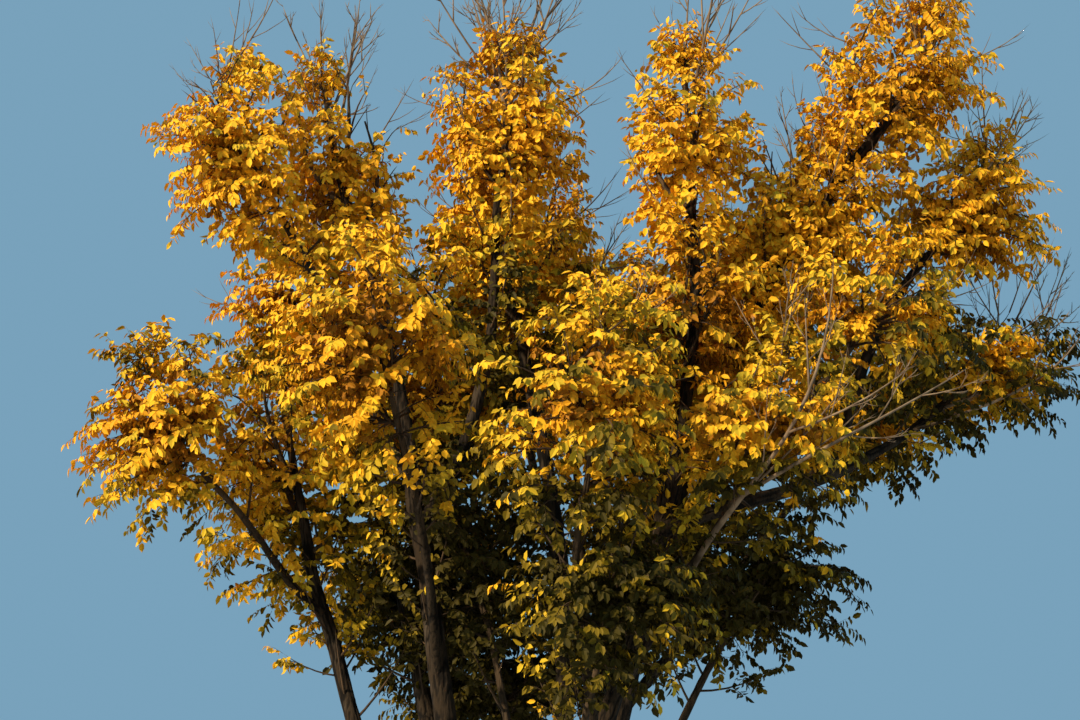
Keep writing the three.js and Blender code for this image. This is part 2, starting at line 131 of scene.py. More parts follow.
# Limbs that show from the front, and from where to where: 0 to 1 is the limb and 1 to 2 its stem.
# Few sprays stand before them.
FRONT = np.array([0.2, -22.0, 1.6])
SHOWN = {
    "left_bough": (0.3, 1.7),
    "left_centre_bough": (0.3, 0.8),
    "centre_bough": (0.7, 1.15),
    "spire_bough": (0.6, 1.1),
    "right_bough": (1.1, 1.5),
    "right_outer_branch": (0.25, 1.1),
    "low_right_bough": (0.15, 0.9),
}
SIGHT_ROOM = 0.05  # how far beside such a limb the view stays open
SIGHT_COVER = 0.2  # the share of the sprays before such a limb that stay
SIGHT_STEPS = 36  # how many places of such a limb are looked at

# Gaps that show the sky between the masses from the front, as ovals on the upright plane through
# the trunk: X and Z of their middle, half width and half height.
SKY_GAPS = np.array([
    (-1.6, 12.6, 0.45, 0.85),
    (-1.36, 11.68, 0.17, 0.55),
    (-3.83, 12.9, 0.5, 0.52),
    (0.94, 11.8, 0.2, 0.97),
    (2.87, 11.93, 0.22, 0.5),
    (5.32, 9.93, 0.66, 0.28),
])
GAP_COVER = 0.04  # the share of the sprays in a gap that stay

# Dead limbs, which fork and carry no leaves. parent and at: where they leave the tree. by: what
# bends them. radius: at the base and the tip.
DEAD_LIMBS = [
    dict(
        parent="right_front_branch", at=0.7, by=[(2.1, -2.6, 7.2), (2.85, -3.3, 7.3)],
        tip=(3.0, -2.9, 9.3), radius=(0.034, 0.006),
    ),
    dict(
        parent="right_front_branch", at=1, by=[(2.6, -3, 7.25), (3.3, -3.1, 7.5)],
        tip=(4.4, -2.4, 8.35), radius=(0.024, 0.005),
    ),
    dict(
        parent="low_right_bough", at=1, by=[(5.6, 0.7, 9.2), (5.85, 0.8, 9.8)],
        tip=(6.25, 0.8, 10.85), radius=(0.022, 0.004),
    ),
    dict(
        parent="low_right_bough", at=0.9, by=[(5.6, 0.2, 8.9), (6, 0.2, 9.2)],
        tip=(6.35, 0.3, 10), radius=(0.02, 0.004),
    ),
]

# Each limb carries one mass of foliage. parent and at: the limb it leaves, and the share of that
# limb's length. leave and arrive: bearing and lean of its two ends. radius: at its base and tip.
# heart: bearing, reach and height of the middle of its mass. size: the mass's half width, half
# depth and half height. bare: how many dead shoots stand out of it, and how long they are.
LIMBS = {
    "left_bough": dict(
        parent="trunk", at=0.86, leave=(184, 38), arrive=(182, 15),
        radius=(0.112, 0.066), heart=(166, 2.6, 8.1),
        size=(1.12, 1.05, 1.6), bare=(1, 0.5),
    ),
    "left_centre_bough": dict(
        parent="trunk", at=0.93, leave=(205, 20), arrive=(166, 19),
        radius=(0.132, 0.072), heart=(170, 2.15, 11.56),
        size=(0.88, 1.05, 1.38), bare=(4, 1.2),
    ),
    "centre_bough": dict(
        parent="trunk", at=0.97, leave=(20, 9), arrive=(150, 14),
        radius=(0.118, 0.066), heart=(103, 0.62, 10.24),
        size=(1.15, 1.15, 1.2), bare=(2, 0.9),
    ),
    "spire_bough": dict(
        parent="trunk", at=0.93, leave=(310, 15), arrive=(150, 3),
        radius=(0.112, 0.056), heart=(336, 1.96, 11.36),
        size=(0.76, 0.85, 1.27), bare=(3, 1.5),
    ),
    "right_bough": dict(
        parent="trunk", at=0.9, leave=(345, 19), arrive=(357, 40),
        radius=(0.126, 0.06), heart=(356, 4.3, 12.17),
        size=(0.98, 1, 1.25), bare=(3, 0.8),
    ),
    "low_right_bough": dict(
        parent="spire_bough", at=0.6, leave=(346, 74), arrive=(12, 50),
        radius=(0.078, 0.046), heart=(10, 5.2, 9.33),
        size=(1.2, 1.1, 0.74), bare=(4, 1.15),
    ),
    "back_left_bough": dict(
        parent="trunk", at=0.88, leave=(138, 26), arrive=(141, 27),
        radius=(0.118, 0.058), heart=(136, 3.45, 10.41),
        size=(1.2, 1.25, 1.35), bare=(2, 0.7),
    ),
    "back_right_bough": dict(
        parent="trunk", at=0.88, leave=(62, 27), arrive=(48, 26),
        radius=(0.12, 0.058), heart=(48, 3.25, 10.28),
        size=(1.3, 1.3, 1.4), bare=(2, 0.7),
    ),
    "left_outer_branch": dict(
        parent="left_bough", at=0.92, leave=(188, 54), arrive=(188, 44),
        radius=(0.05, 0.032), heart=(186, 3.68, 8.2),
        size=(1, 1.05, 1.05), bare=(1, 0.6),
    ),
    "upper_left_branch": dict(
        parent="left_centre_bough", at=0.66, leave=(190, 35), arrive=(186, 32),
        radius=(0.06, 0.04), heart=(186, 3.06, 11.45),
        size=(0.98, 1.05, 1.2), bare=(1, 0.6),
    ),
    "left_front_branch": dict(
        parent="left_centre_bough", at=0.4, leave=(265, 35), arrive=(240, 28),
        radius=(0.06, 0.032), heart=(236, 2.45, 8.56),
        size=(1.25, 1.15, 1.25), bare=(0, 0),
    ),
    "centre_top_branch": dict(
        parent="left_centre_bough", at=0.6, leave=(5, 34), arrive=(60, 8),
        radius=(0.076, 0.046), heart=(152, 0.21, 11.94),
        size=(0.93, 1, 1.2), bare=(6, 1.5),
    ),
    "back_top_branch": dict(
        parent="centre_bough", at=0.5, leave=(85, 32), arrive=(90, 8),
        radius=(0.066, 0.032), heart=(94, 2.25, 11.5),
        size=(1.05, 1.1, 1.25), bare=(3, 0.8),
    ),
    "spire_inner_branch": dict(
        parent="spire_bough", at=0.42, leave=(350, 30), arrive=(330, 14),
        radius=(0.052, 0.03), heart=(329, 1.96, 9.24),
        size=(1.1, 1.05, 1.1), bare=(0, 0),
    ),
    "front_branch": dict(
        parent="spire_bough", at=0.3, leave=(270, 38), arrive=(285, 30),
        radius=(0.058, 0.032), heart=(285, 2.75, 7.7),
        size=(1.15, 1.05, 1.15), bare=(1, 0.4),
    ),
    "low_front_branch": dict(
        parent="trunk", at=0.78, leave=(292, 36), arrive=(300, 28),
        radius=(0.068, 0.032), heart=(296, 2.05, 6.18),
        size=(1.05, 1, 0.95), bare=(0, 0),
    ),
    "right_inner_branch": dict(
        parent="right_bough", at=0.56, leave=(20, 12), arrive=(350, 12),
        radius=(0.062, 0.04), heart=(5, 3.15, 10.85),
        size=(0.98, 1.05, 1.25), bare=(3, 1),
    ),
    "right_middle_branch": dict(
        parent="right_bough", at=0.52, leave=(345, 48), arrive=(336, 48),
        radius=(0.062, 0.038), heart=(341, 3.85, 9.15),
        size=(1.2, 1.1, 0.95), bare=(0, 0),
    ),
    "right_outer_branch": dict(
        parent="low_right_bough", at=0.52, leave=(350, 28), arrive=(6, 42),
        radius=(0.07, 0.046), heart=(5, 5, 11.05),
        size=(0.96, 1.05, 1.04), bare=(2, 0.9),
    ),
    "right_front_branch": dict(
        parent="spire_bough", at=0.38, leave=(318, 44), arrive=(318, 40),
        radius=(0.06, 0.032), heart=(317, 3.25, 7.64),
        size=(1.15, 1.05, 0.95), bare=(2, 0.8),
    ),
    "lower_right_branch": dict(
        parent="trunk", at=0.82, leave=(14, 34), arrive=(12, 32),
        radius=(0.076, 0.034), heart=(14, 2.6, 6.86),
        size=(1.2, 1.05, 0.88), bare=(0, 0),
    ),
    "back_left_inner_branch": dict(
        parent="back_left_bough", at=0.44, leave=(80, 30), arrive=(105, 22),
        radius=(0.066, 0.034), heart=(109, 3.1, 9.65),
        size=(1.3, 1.25, 1.45), bare=(0, 0),
    ),
    "back_low_left_branch": dict(
        parent="back_left_bough", at=0.28, leave=(100, 38), arrive=(112, 34),
        radius=(0.058, 0.032), heart=(114, 2.65, 7.15),
        size=(1.3, 1.2, 1.1), bare=(0, 0),
    ),
    "back_far_right_branch": dict(
        parent="back_right_bough", at=0.42, leave=(20, 42), arrive=(33, 40),
        radius=(0.068, 0.034), heart=(34, 5, 9.65),
        size=(1.25, 1.15, 1.15), bare=(1, 0.6),
    ),
    "back_outer_branch": dict(
        parent="back_right_bough", at=0.46, leave=(100, 34), arrive=(84, 26),
        radius=(0.068, 0.034), heart=(80, 4.15, 10.7),
        size=(1.3, 1.15, 1.35), bare=(4, 1.2),
    ),
    "back_low_right_branch": dict(
        parent="back_right_bough", at=0.28, leave=(75, 44), arrive=(66, 42),
        radius=(0.06, 0.032), heart=(66, 3.7, 7.7),
        size=(1.3, 1.2, 1.1), bare=(0, 0),
    ),
    "inner_low_branch": dict(
        parent="centre_bough", at=0.24, leave=(190, 40), arrive=(180, 18),
        radius=(0.05, 0.03), heart=(160, 0.7, 7.25),
        size=(0.95, 0.9, 1.1), bare=(0, 0),
    ),
    "low_back_branch": dict(
        parent="trunk", at=0.8, leave=(96, 40), arrive=(94, 30),
        radius=(0.062, 0.032), heart=(97, 1.75, 6.05),
        size=(1.15, 0.95, 0.95), bare=(0, 0),
    ),
}
UP = np.array([0.0, 0.0, 1.0])


# Vectors and lines


def unit(vectors):
    return vectors / np.maximum(np.linalg.norm(vectors, axis=-1, keepdims=True), 1e-9)


def heading(bearing, lean):
    """Unit vectors with the given bearings and leans."""
    turn, tilt = np.broadcast_arrays(np.radians(bearing), np.radians(lean))
    across = np.sin(tilt)
    return np.stack([across * np.cos(turn), across * np.sin(turn), np.cos(tilt)], -1)


def between(low, high, share):
    return low + (high - low) * share


def smooth_step(low, high, value):
    share = np.clip((value - low) / (high - low), 0, 1)
    return share * share * (3 - 2 * share)


def on_line(controls, share):
    """Places on a Bezier line, which may differ from row to row, at the given shares of it."""
    share = np.asarray(share, float)[..., None]
    while len(controls) > 1:
        controls = [between(a, b, share) for a, b in zip(controls, controls[1:])]
    return controls[0]


def direction_on_line(controls, share):
    steps = [b - a for a, b in zip(controls, controls[1:])]
    return unit(on_line(steps, share))


def along_of(points):
    """How far each point of a line is from its start, measured along it."""
    steps = np.linalg.norm(np.diff(points, axis=0), axis=1)
    return np.concatenate([[0], np.cumsum(steps)])


# Smooth noise and bark

HASH_PRIMES = (73856093, 19349663, 83492791, 7919)
HASH_MIX = 1274126177
BEND_SEEDS, RIDGE_SEED, PLATE_SEED, GRIT_SEED = (3, 5), 11, 17, 23
WANDER_SEEDS, GIRTH_SEED, DRIFT_SEED, LUMP_SEED = (41, 43, 47), 53, 61, 71

# ridge_length: how many times a ridge is as long as it is wide. bend and bend_pace: how far and
# how quickly ridges bend. furrow and crack: between which values of the noise they end. plates and
# grit: how much cracks across the ridges and fine grit lower them, with their own paces.
BARK = dict(
    ridge_length=6.2, bend=0.42, bend_pace=0.7, furrow=(0.02, 0.3), crack=(0.0, 0.2),
    plates=0.24, plate_pace=(0.8, 0.8, 1.4), grit=0.16, grit_pace=3.1,
)
BARK_LEVEL = 0.6  # the relief at which the bark is neither raised nor sunk


def lattice(cells, seed):
    """A number from -1 to 1 for each place with whole-numbered coordinates, as if drawn."""
    x, y, z = (cells[..., axis] * HASH_PRIMES[axis] for axis in range(3))
    key = ((x ^ y ^ z) + seed * HASH_PRIMES[3]) & 0x7FFFFFFF
    key = ((key >> 13) ^ key) * HASH_MIX & 0x7FFFFFFF
    key = ((key >> 15) ^ key) & 0xFFFF
    return key / 32767.5 - 1


def swell(places, seed):
    """Smooth noise from -1 to 1, with about one swell in each unit of length."""
    cells = np.floor(places).astype(np.int64)
    part = places - cells
    part = part * part * (3 - 2 * part)
    total = np.zeros(places.shape[:-1])
    for corner in np.ndindex(2, 2, 2):
        weight = np.where(corner, part, 1 - part).prod(-1)
        total += weight * lattice(cells + np.array(corner), seed)
    return total


def bark_relief(places, grain):
    """Ridges that part and join along the wood: 0 in a furrow and 1 on a ridge. places has Z along
    the wood, and grain is the width of a ridge."""
    shaped = places / (grain * np.array([1, 1, BARK["ridge_length"]]))
    bend = [swell(shaped * BARK["bend_pace"], seed) for seed in BEND_SEEDS]
    shaped = shaped + BARK["bend"] * np.stack([*bend, 0 * bend[0]], -1)
    ridge = smooth_step(*BARK["furrow"], np.abs(swell(shaped, RIDGE_SEED)))
    plate = np.abs(swell(shaped * np.array(BARK["plate_pace"]), PLATE_SEED))
    plate = smooth_step(*BARK["crack"], plate)
    grit = 0.5 + 0.5 * swell(shaped * BARK["grit_pace"], GRIT_SEED)
    ridge = ridge * (1 - BARK["plates"] + BARK["plates"] * plate)
    return ridge * (1 - BARK["grit"] + BARK["grit"] * grit)


# Meshes from arrays


def mesh_piece(name, points, faces, numbers=None, smooth=True):
    """A mesh object from an array of points and arrays of faces that have equal counts of corners.
    numbers holds arrays of one number or one vector for each point."""
    mesh = bpy.data.meshes.new(name)
    mesh.vertices.add(len(points))
    mesh.vertices.foreach_set("co", np.asarray(points, np.float32).ravel())
    faces = [np.asarray(block, np.int32) for block in faces if len(block)]
    if faces:
        corners = np.concatenate([block.ravel() for block in faces])
        counts = np.concatenate([np.full(len(block), block.shape[1]) for block in faces])
        mesh.loops.add(len(corners))
        mesh.loops.foreach_set("vertex_index", corners)
        mesh.polygons.add(len(counts))
        mesh.polygons.foreach_set("loop_start", np.concatenate([[0], np.cumsum(counts)[:-1]]))
        mesh.polygons.foreach_set("use_smooth", np.full(len(counts), smooth))
    for key, values in (numbers or {}).items():
        store(mesh, key, values)
    mesh.update(calc_edges=True)
    mesh.validate()
    piece = bpy.data.objects.new(name, mesh)
    bpy.context.scene.collection.objects.link(piece)
    return piece


def store(mesh, key, values):
    values = np.asarray(values, np.float32)
    kind, field = ("FLOAT_VECTOR", "vector") if values.ndim == 2 else ("FLOAT", "value")
    mesh.attributes.new(key, kind, "POINT").data.foreach_set(field, values.ravel())


def full_turn(sides):
    return 2 * np.pi * np.arange(sides) / sides


def tube_faces(count, rings, sides, pointed=False):
    """Blocks of the faces of closed tubes that all have the same counts of rings and sides."""
    first = (np.arange(count) * (rings * sides + pointed))[:, None, None]
    ring, corner = (np.arange(rings) * sides)[:, None], np.arange(sides)
    following = (corner + 1) % sides
    here, there = ring[:-1], ring[1:]
    quads = np.stack([here + corner, here + following, there + following, there + corner], -1)
    blocks = [(quads.reshape(-1, 4)[None] + first).reshape(-1, 4)]
    blocks.append((corner[::-1] + first[:, 0]).reshape(-1, sides))
    last = (rings - 1) * sides
    if pointed:
        apex = np.full(sides, rings * sides)
        cone = np.stack([last + corner, last + following, apex], -1)
        blocks.append((cone[None] + first).reshape(-1, 3))
    else:
        blocks.append((last + corner + first[:, 0]).reshape(-1, sides))
    return blocks


def tubes(lines, radii, sides, pointed=False):
    """Closed tubes along many lines at once, as points and blocks of faces. lines is shaped
    (tubes, rings, 3), and radii (tubes, rings) or (tubes, rings, sides). A pointed tube ends in a
    single point."""
    count, rings = lines.shape[:2]
    along = unit(np.gradient(lines, axis=1))
    chord = unit(lines[:, -1] - lines[:, 0])
    aside = np.eye(3)[np.argmin(np.abs(chord), axis=1)][:, None]
    across = unit(np.cross(along, aside))
    over = np.cross(along, across)
    turn = full_turn(sides)[:, None]
    if radii.ndim == 2:
        radii = np.repeat(radii[..., None], sides, axis=2)
    spoke = across[:, :, None] * np.cos(turn) + over[:, :, None] * np.sin(turn)
    points = lines[:, :, None] + spoke * radii[..., None]
    whole = rings - 1 if pointed else rings
    points = points[:, :whole].reshape(count, whole * sides, 3)
    if pointed:
        points = np.concatenate([points, lines[:, -1:]], axis=1)
    return points.reshape(-1, 3), tube_faces(count, whole, sides, pointed)


def gather(parts):
    """Points and faces of several lots of tubes as one, with faces grouped by their corners."""
    points, blocks, start = [], {}, 0
    for some_points, some_blocks in parts:
        points.append(some_points)
        for block in some_blocks:
            blocks.setdefault(block.shape[1], []).append(block + start)
        start += len(some_points)
    return np.concatenate(points), [np.concatenate(same) for same in blocks.values()]


# The trunk and the limbs

TRUNK_RINGS = 70
TRUNK_SIDES = 96
TRUNK_CROWDING = 1.3  # above 1, rings are closer to each other near the ground
TRUNK_SUNK = 0.12  # how deep below the ground the trunk begins before it is cut level
TRUNK_VOXEL = 0.0135  # the size of the blocks that the trunk and the feet of limbs are joined by
TRUNK_SOFTENING = 26  # how many times the joined trunk is softened
ABOVE_THE_FORK = (2.2, 3.3)  # the heights between which the trunk's bark gives way to finer bark
BOUGH_FOOT = 1.15  # how far up a limb is joined to the trunk, for boughs and for branches
BRANCH_FOOT = 0.75
FOOT_SIDES = 24

# Where a limb's own mesh and its joined foot overlap: along which length, and by which share each
# gets thinner towards its end, and within which length.
SEAM = dict(overlap=0.2, foot=(0.09, 0.14), limb=(0.08, 0.12))

# By how much a limb is thicker where it leaves its parent, and within how many times its radius
# that has mostly gone.
FOOT_SWELLING = (0.6, 2.8)
COLLAR_SWELLING = (0.42, 1.6)

# The distance between rings, how many sides a limb has, and how wide its ridges are as a share of
# the trunk's.
BOUGH_MESH = dict(spacing=0.045, sides=30, grain=0.75)
BRANCH_MESH = dict(spacing=0.055, sides=16, grain=0.75)
FORK_MESH = dict(sides=7, grain=0.4)
YOUNG_BARK = (0.05, 0.026)  # the radii between which a limb's bark turns smooth and paler
FULL_BARK = 0.3  # the radius from which bark has its full depth
LEAST_BARK = 0.06  # wood thinner than this share of that radius has bark as deep as there
BARK_POWER = 0.75  # below 1, bark is deeper on thin wood than in proportion
LUMP_SHAPE = (0.12, 0.12, 0.3)  # the size of the slight lumps in a limb
LUMP_HEIGHT = 0.05  # their height, as a share of the limb's thickness
PATTERN_SHIFT = 9  # sets the bark of one limb apart from the next limb's

# Slow bends of limbs: their length, how much flatter they are up and down, how far from its start a
# limb has its full bends, and how large they are.
BEND_LENGTH = 0.75
BEND_RISE = 0.4
BEND_GROWTH = (0.2, 1.4)
LEAST_BEND = 0.4  # the bends of the thinnest wood, as a share of those at a limb's start
BENDS_APART = 0.37  # sets the bends of one limb apart from the next limb's
LIMB_BENDS = 0.035
FORK_BENDS = 0.02


def trunk_radius(share, angle):
    """The trunk's radius, with buttresses that die away upwards, a neck, and a head that the
    boughs leave."""
    t = TRUNK
    turn = t["buttresses"] * angle + t["buttress_shift"] * np.sin(angle)
    ridge = 1 + t["buttress_depth"] * np.cos(turn)
    flare = t["flare"] * np.exp(-share * t["height"] / t["flare_height"]) * ridge
    taper = between(t["foot"], t["neck"], np.clip(share / t["neck_at"], 0, 1))
    swollen = (t["head"] - t["neck"]) * smooth_step(t["neck_at"], t["head_at"], share)
    domed = (t["head"] - t["crown"]) * smooth_step(t["head_at"], 1, share)
    return taper + swollen - domed + flare


def reach_of(size, way):
    """How far it is from a mass's middle to its outside in a direction."""
    return 1 / np.linalg.norm(way / size, axis=-1)


def limb_line(limb):
    """The limb's own line, from its parent to the mass that it carries."""
    leave, arrive = heading(*limb["leave"]), heading(*limb["arrive"])
    start = on_line(LINES[limb["parent"]], limb["at"])
    if limb["parent"] == "trunk":
        start = start + FORK_SPREAD * heading(limb["leave"][0], 90)
    tip = limb["middle"] - TIP_DEPTH * reach_of(limb["half"], arrive) * arrive
    pull = HANDLE * np.linalg.norm(tip - start)
    return [start, start + pull * leave, tip - pull * arrive, tip]


def stem_line(name, limb):
    """The stem that a mass grows on, from the end of its limb through its middle."""
    arrive = heading(*limb["arrive"])
    base = LINES[name][-1]
    upward = unit(arrive + UP)
    top = limb["middle"] + STEM_TOP * reach_of(limb["half"], upward) * upward
    return [base, base + 0.5 * np.linalg.norm(top - base) * arrive, top]


LINES = {"trunk": [np.zeros(3), np.append(heading(*TRUNK["lean"])[:2], 1) * TRUNK["height"]]}
for order, (limb_name, limb) in enumerate(LIMBS.items()):
    bearing, reach, height = limb["heart"]
    limb["middle"] = np.append(reach * heading(bearing, 90)[:2], height)
    limb["half"] = np.array(limb["size"], float)
    limb["seed"] = 1000 + 37 * order
    limb["turn"] = 0.9 * order
    LINES[limb_name] = limb_line(limb)
    limb["stem"] = stem_line(limb_name, limb)

MIDDLES = np.array([limb["middle"] for limb in LIMBS.values()])
HALVES = np.array([limb["half"] for limb in LIMBS.values()])
CROWN_BOX = np.array(SOLID_BOX)


def depths_in_all(places):
    """How deep places lie in every mass: 0 at its middle and 1 on its outside."""
    return np.linalg.norm((places[:, None] - MIDDLES) / HALVES, axis=-1)


def in_crown_box(places):
    """True for places inside the box of the solids, which leaves may overhang a little."""
    return ((places > CROWN_BOX[0]) & (places < CROWN_BOX[1])).all(axis=-1)


def own_place(order, places, limit):
    """True for places that lie within a mass and deeper in it than in any neighbour."""
    depths = depths_in_all(places)
    rows = np.arange(len(places))
    own = depths[rows, order]
    depths[rows, order] = np.inf
    return (own < limit) & (own < depths.min(axis=1) - NEIGHBOUR_MARGIN) & in_crown_box(places)


LIMB_STEPS = 60  # how many places of each limb others keep clear of
PLACES_AT_ONCE = 4000  # which keeps the arrays of distances small


def limb_samples():
    """Places along every limb, with the room that its bark takes."""
    shares = np.linspace(0, 1, LIMB_STEPS)
    places = [on_line(LINES[name], shares) for name in LIMBS]
    rooms = [between(*limb["radius"], shares) for limb in LIMBS.values()]
    return np.concatenate(places), np.concatenate(rooms)


def clear_of_limbs(places, clearance):
    """True for places that keep off the bark of every limb."""
    points, rooms = limb_samples()
    clear = np.ones(len(places), bool)
    for start in range(0, len(places), PLACES_AT_ONCE):
        lot = slice(start, start + PLACES_AT_ONCE)
        gaps = np.linalg.norm(places[lot, None] - points, axis=-1) - rooms
        clear[lot] = gaps.min(axis=1) > clearance
    return clear


def hides_a_limb(places):
    """True for places that stand before a limb which shows from the front."""
    sight = places - FRONT
    distance = np.linalg.norm(sight, axis=1)
    sight = sight / distance[:, None]
    hides = np.zeros(len(places), bool)
    for name, (low, high) in SHOWN.items():
        limb = LIMBS[name]
        for share in np.linspace(low, high, SIGHT_STEPS):
            on_limb = share < 1
            line = LINES[name] if on_limb else limb["stem"]
            point = on_line(line, share - (not on_limb)) - FRONT
            room = between(*limb["radius"], min(share, 1)) + SIGHT_ROOM
            ahead = sight @ point
            beside = np.linalg.norm(point - ahead[:, None] * sight, axis=1)
            hides |= (beside < room) & (distance < ahead - room)
    return hides


def in_a_gap(places):
    """True for places that stand in a gap of sky, as seen from the front."""
    onto_plane = (FRONT[1] / (FRONT[1] - places[:, 1]))[:, None]
    seen = between(FRONT, places, onto_plane)[:, None, [0, 2]]
    return (np.linalg.norm((seen - SKY_GAPS[:, :2]) / SKY_GAPS[:, 2:], axis=-1) < 1).any(axis=1)


def leader_line(limb):
    """The thin end that grows on from a stem."""
    top = limb["stem"][-1]
    upward = unit(top - limb["stem"][1])
    return [top, top + LEADER_REACH * reach_of(limb["half"], upward) * upward]


def lines_fit(order, lines, shares, clearance):
    """True for lines that lie within their own mass and clear of all limbs at the given shares."""
    fits = np.ones(len(lines[0]), bool)
    for share in shares:
        places = on_line(lines, np.full(len(fits), share))
        fits &= own_place(order, places, TWIG_LIMIT) & clear_of_limbs(places, clearance)
    return fits


def fork_lines(order, limb):
    """The thin limbs that a stem forks into, which bend outwards and then rise to the shoulders of
    their mass. A fork is left out where it would stand in a neighbour or in another limb."""
    shares = np.array(FORKS["shares"])
    bearing = np.degrees(limb["turn"]) + 360 / len(shares) * np.arange(len(shares))
    start = on_line(limb["stem"], shares)
    end = limb["middle"] + FORKS["depth"] * limb["half"] * heading(bearing, FORKS["lean"])
    length = np.linalg.norm(end - start, axis=1)[:, None]
    bend = start + length * (FORKS["out"] * heading(bearing, 90) + FORKS["up"] * UP)
    fits = lines_fit(order, [start, bend, end], (0.6, 0.8, 1), END_CLEARANCE)
    return [part[fits] for part in (start, bend, end)]


def measured(controls, samples):
    """The length of a Bezier line."""
    return along_of(on_line(controls, np.linspace(0, 1, samples)))[-1]


def wood_path(name, limb, spacing):
    """A limb, its stem and the stem's leader as one line of places, with the radius at each."""
    base, tip = limb["radius"]
    top = STEM_TAPER * tip
    steps = max(int(measured(LINES[name], 50) / spacing), 12)
    shares = np.linspace(0, 1, steps)
    upper = np.linspace(0, 1, max(steps // 4, 6))[1:]
    last = np.linspace(0, 1, 5)[1:]
    places = [
        on_line(LINES[name], shares),
        on_line(limb["stem"], upper),
        on_line(leader_line(limb), last),
    ]
    radii = [between(base, tip, shares), between(tip, top, upper), between(top, LEADER_TIP, last)]
    return np.concatenate(places), np.concatenate(radii)


def wandered(places, radii, seed, most):
    """The same line with slow bends, none at its start. They are at most as large as given, and
    smaller where the limb is thin."""
    away = along_of(places)
    sample = np.stack([away / BEND_LENGTH, np.full(len(away), seed * BENDS_APART), 0 * away], -1)
    bends = np.stack([swell(sample, bend_seed) for bend_seed in WANDER_SEEDS], -1)
    reach = most * np.minimum(radii / radii[0] + LEAST_BEND, 1) * smooth_step(*BEND_GROWTH, away)
    return places + bends * np.array([1, 1, BEND_RISE]) * reach[:, None]


def ringed_wood(places, radii, sides, grain, relief):
    """A closed tube with bark along one line, and the bark's relief at each of its points."""
    turn = full_turn(sides)
    girth = np.repeat(radii[:, None], sides, axis=1)
    along = np.repeat(along_of(places)[:, None], sides, axis=1)
    apart = PATTERN_SHIFT * places[0]
    unrolled = [girth * np.cos(turn) + apart[0], girth * np.sin(turn) + apart[1], along]
    unrolled = np.stack(unrolled, -1)
    ridge = bark_relief(unrolled, grain)
    depth = relief * np.clip(girth / FULL_BARK, LEAST_BARK, 1) ** BARK_POWER
    lumps = 1 + LUMP_HEIGHT * swell(unrolled / np.array(LUMP_SHAPE), GIRTH_SEED)
    outside = girth * lumps + (ridge - BARK_LEVEL) * depth
    points, faces = tubes(places[None], outside[None], sides)
    return points, faces, ridge.ravel()


def is_bough(name):
    return name.endswith("_bough")


def foot_length(name):
    return BOUGH_FOOT if is_bough(name) else BRANCH_FOOT


def swollen(radii, away, by, within):
    """Radii of a limb that is thicker at its start."""
    return radii * (1 + by * np.exp(-away / (within * radii[0])))


def trunk_tube():
    """The smooth trunk, from below the ground to its head."""
    steps = np.linspace(0, 1, TRUNK_RINGS) ** TRUNK_CROWDING
    turn = full_turn(TRUNK_SIDES)
    rings = np.stack([np.cos(turn), np.sin(turn), 0 * turn], -1)
    radii = trunk_radius(steps[:, None], turn[None])
    points = on_line(LINES["trunk"], steps)[:, None] + rings[None] * radii[..., None]
    points = np.concatenate([points[:1] - TRUNK_SUNK * UP, points])
    return points.reshape(-1, 3), tube_faces(1, len(points), TRUNK_SIDES)


def foot_tube(name, limb):
    """The smooth foot of a limb that leaves the trunk. Its end sinks into the limb's own mesh."""
    places, radii = wood_path(name, limb, BOUGH_MESH["spacing"])
    away = along_of(places)
    length = foot_length(name)
    near = away < length
    by, within = SEAM["foot"]
    sinking = 1 - by * smooth_step(length - within, length, away)
    radii = swollen(radii, away, *FOOT_SWELLING) * sinking
    return tubes(places[near][None], radii[near][None], FOOT_SIDES)


def trunk_piece(wood):
    """The trunk and the feet of the limbs that leave it, grown together and furrowed."""
    feet = [foot_tube(name, limb) for name, limb in LIMBS.items() if limb["parent"] == "trunk"]
    joined = mesh_piece("trunk_and_fork", *gather([trunk_tube(), *feet]))
    remesh = joined.modifiers.new("Join", "REMESH")
    remesh.mode = "VOXEL"
    remesh.voxel_size = TRUNK_VOXEL
    soften = joined.modifiers.new("Soften", "SMOOTH")
    soften.factor = 0.5
    soften.iterations = TRUNK_SOFTENING
    settle(joined)
    level_cut(joined)
    furrow(joined, wood)
    return joined


def settle(piece):
    """Turns a piece with modifiers into a plain mesh."""
    bpy.context.view_layer.update()
    whole = piece.evaluated_get(bpy.context.evaluated_depsgraph_get())
    plain = bpy.data.meshes.new_from_object(whole)
    former = piece.data
    piece.modifiers.clear()
    piece.data = plain
    bpy.data.meshes.remove(former)
    plain.name = piece.name
    return piece


def level_cut(piece):
    """Cuts a piece level with the ground and closes the cut."""
    shell = bmesh.new()
    shell.from_mesh(piece.data)
    everything = shell.verts[:] + shell.edges[:] + shell.faces[:]
    cut = bmesh.ops.bisect_plane(
        shell, geom=everything, plane_co=(0, 0, 0), plane_no=(0, 0, -1), clear_outer=True
    )
    rim = [part for part in cut["geom_cut"] if isinstance(part, bmesh.types.BMEdge)]
    closed = bmesh.ops.contextual_create(shell, geom=rim)
    bmesh.ops.triangulate(shell, faces=closed["faces"])
    shell.to_mesh(piece.data)
    shell.free()


def vectors_of(rows, field):
    values = np.zeros(len(rows) * 3, np.float32)
    rows.foreach_get(field, values)
    return values.reshape(-1, 3).astype(float)


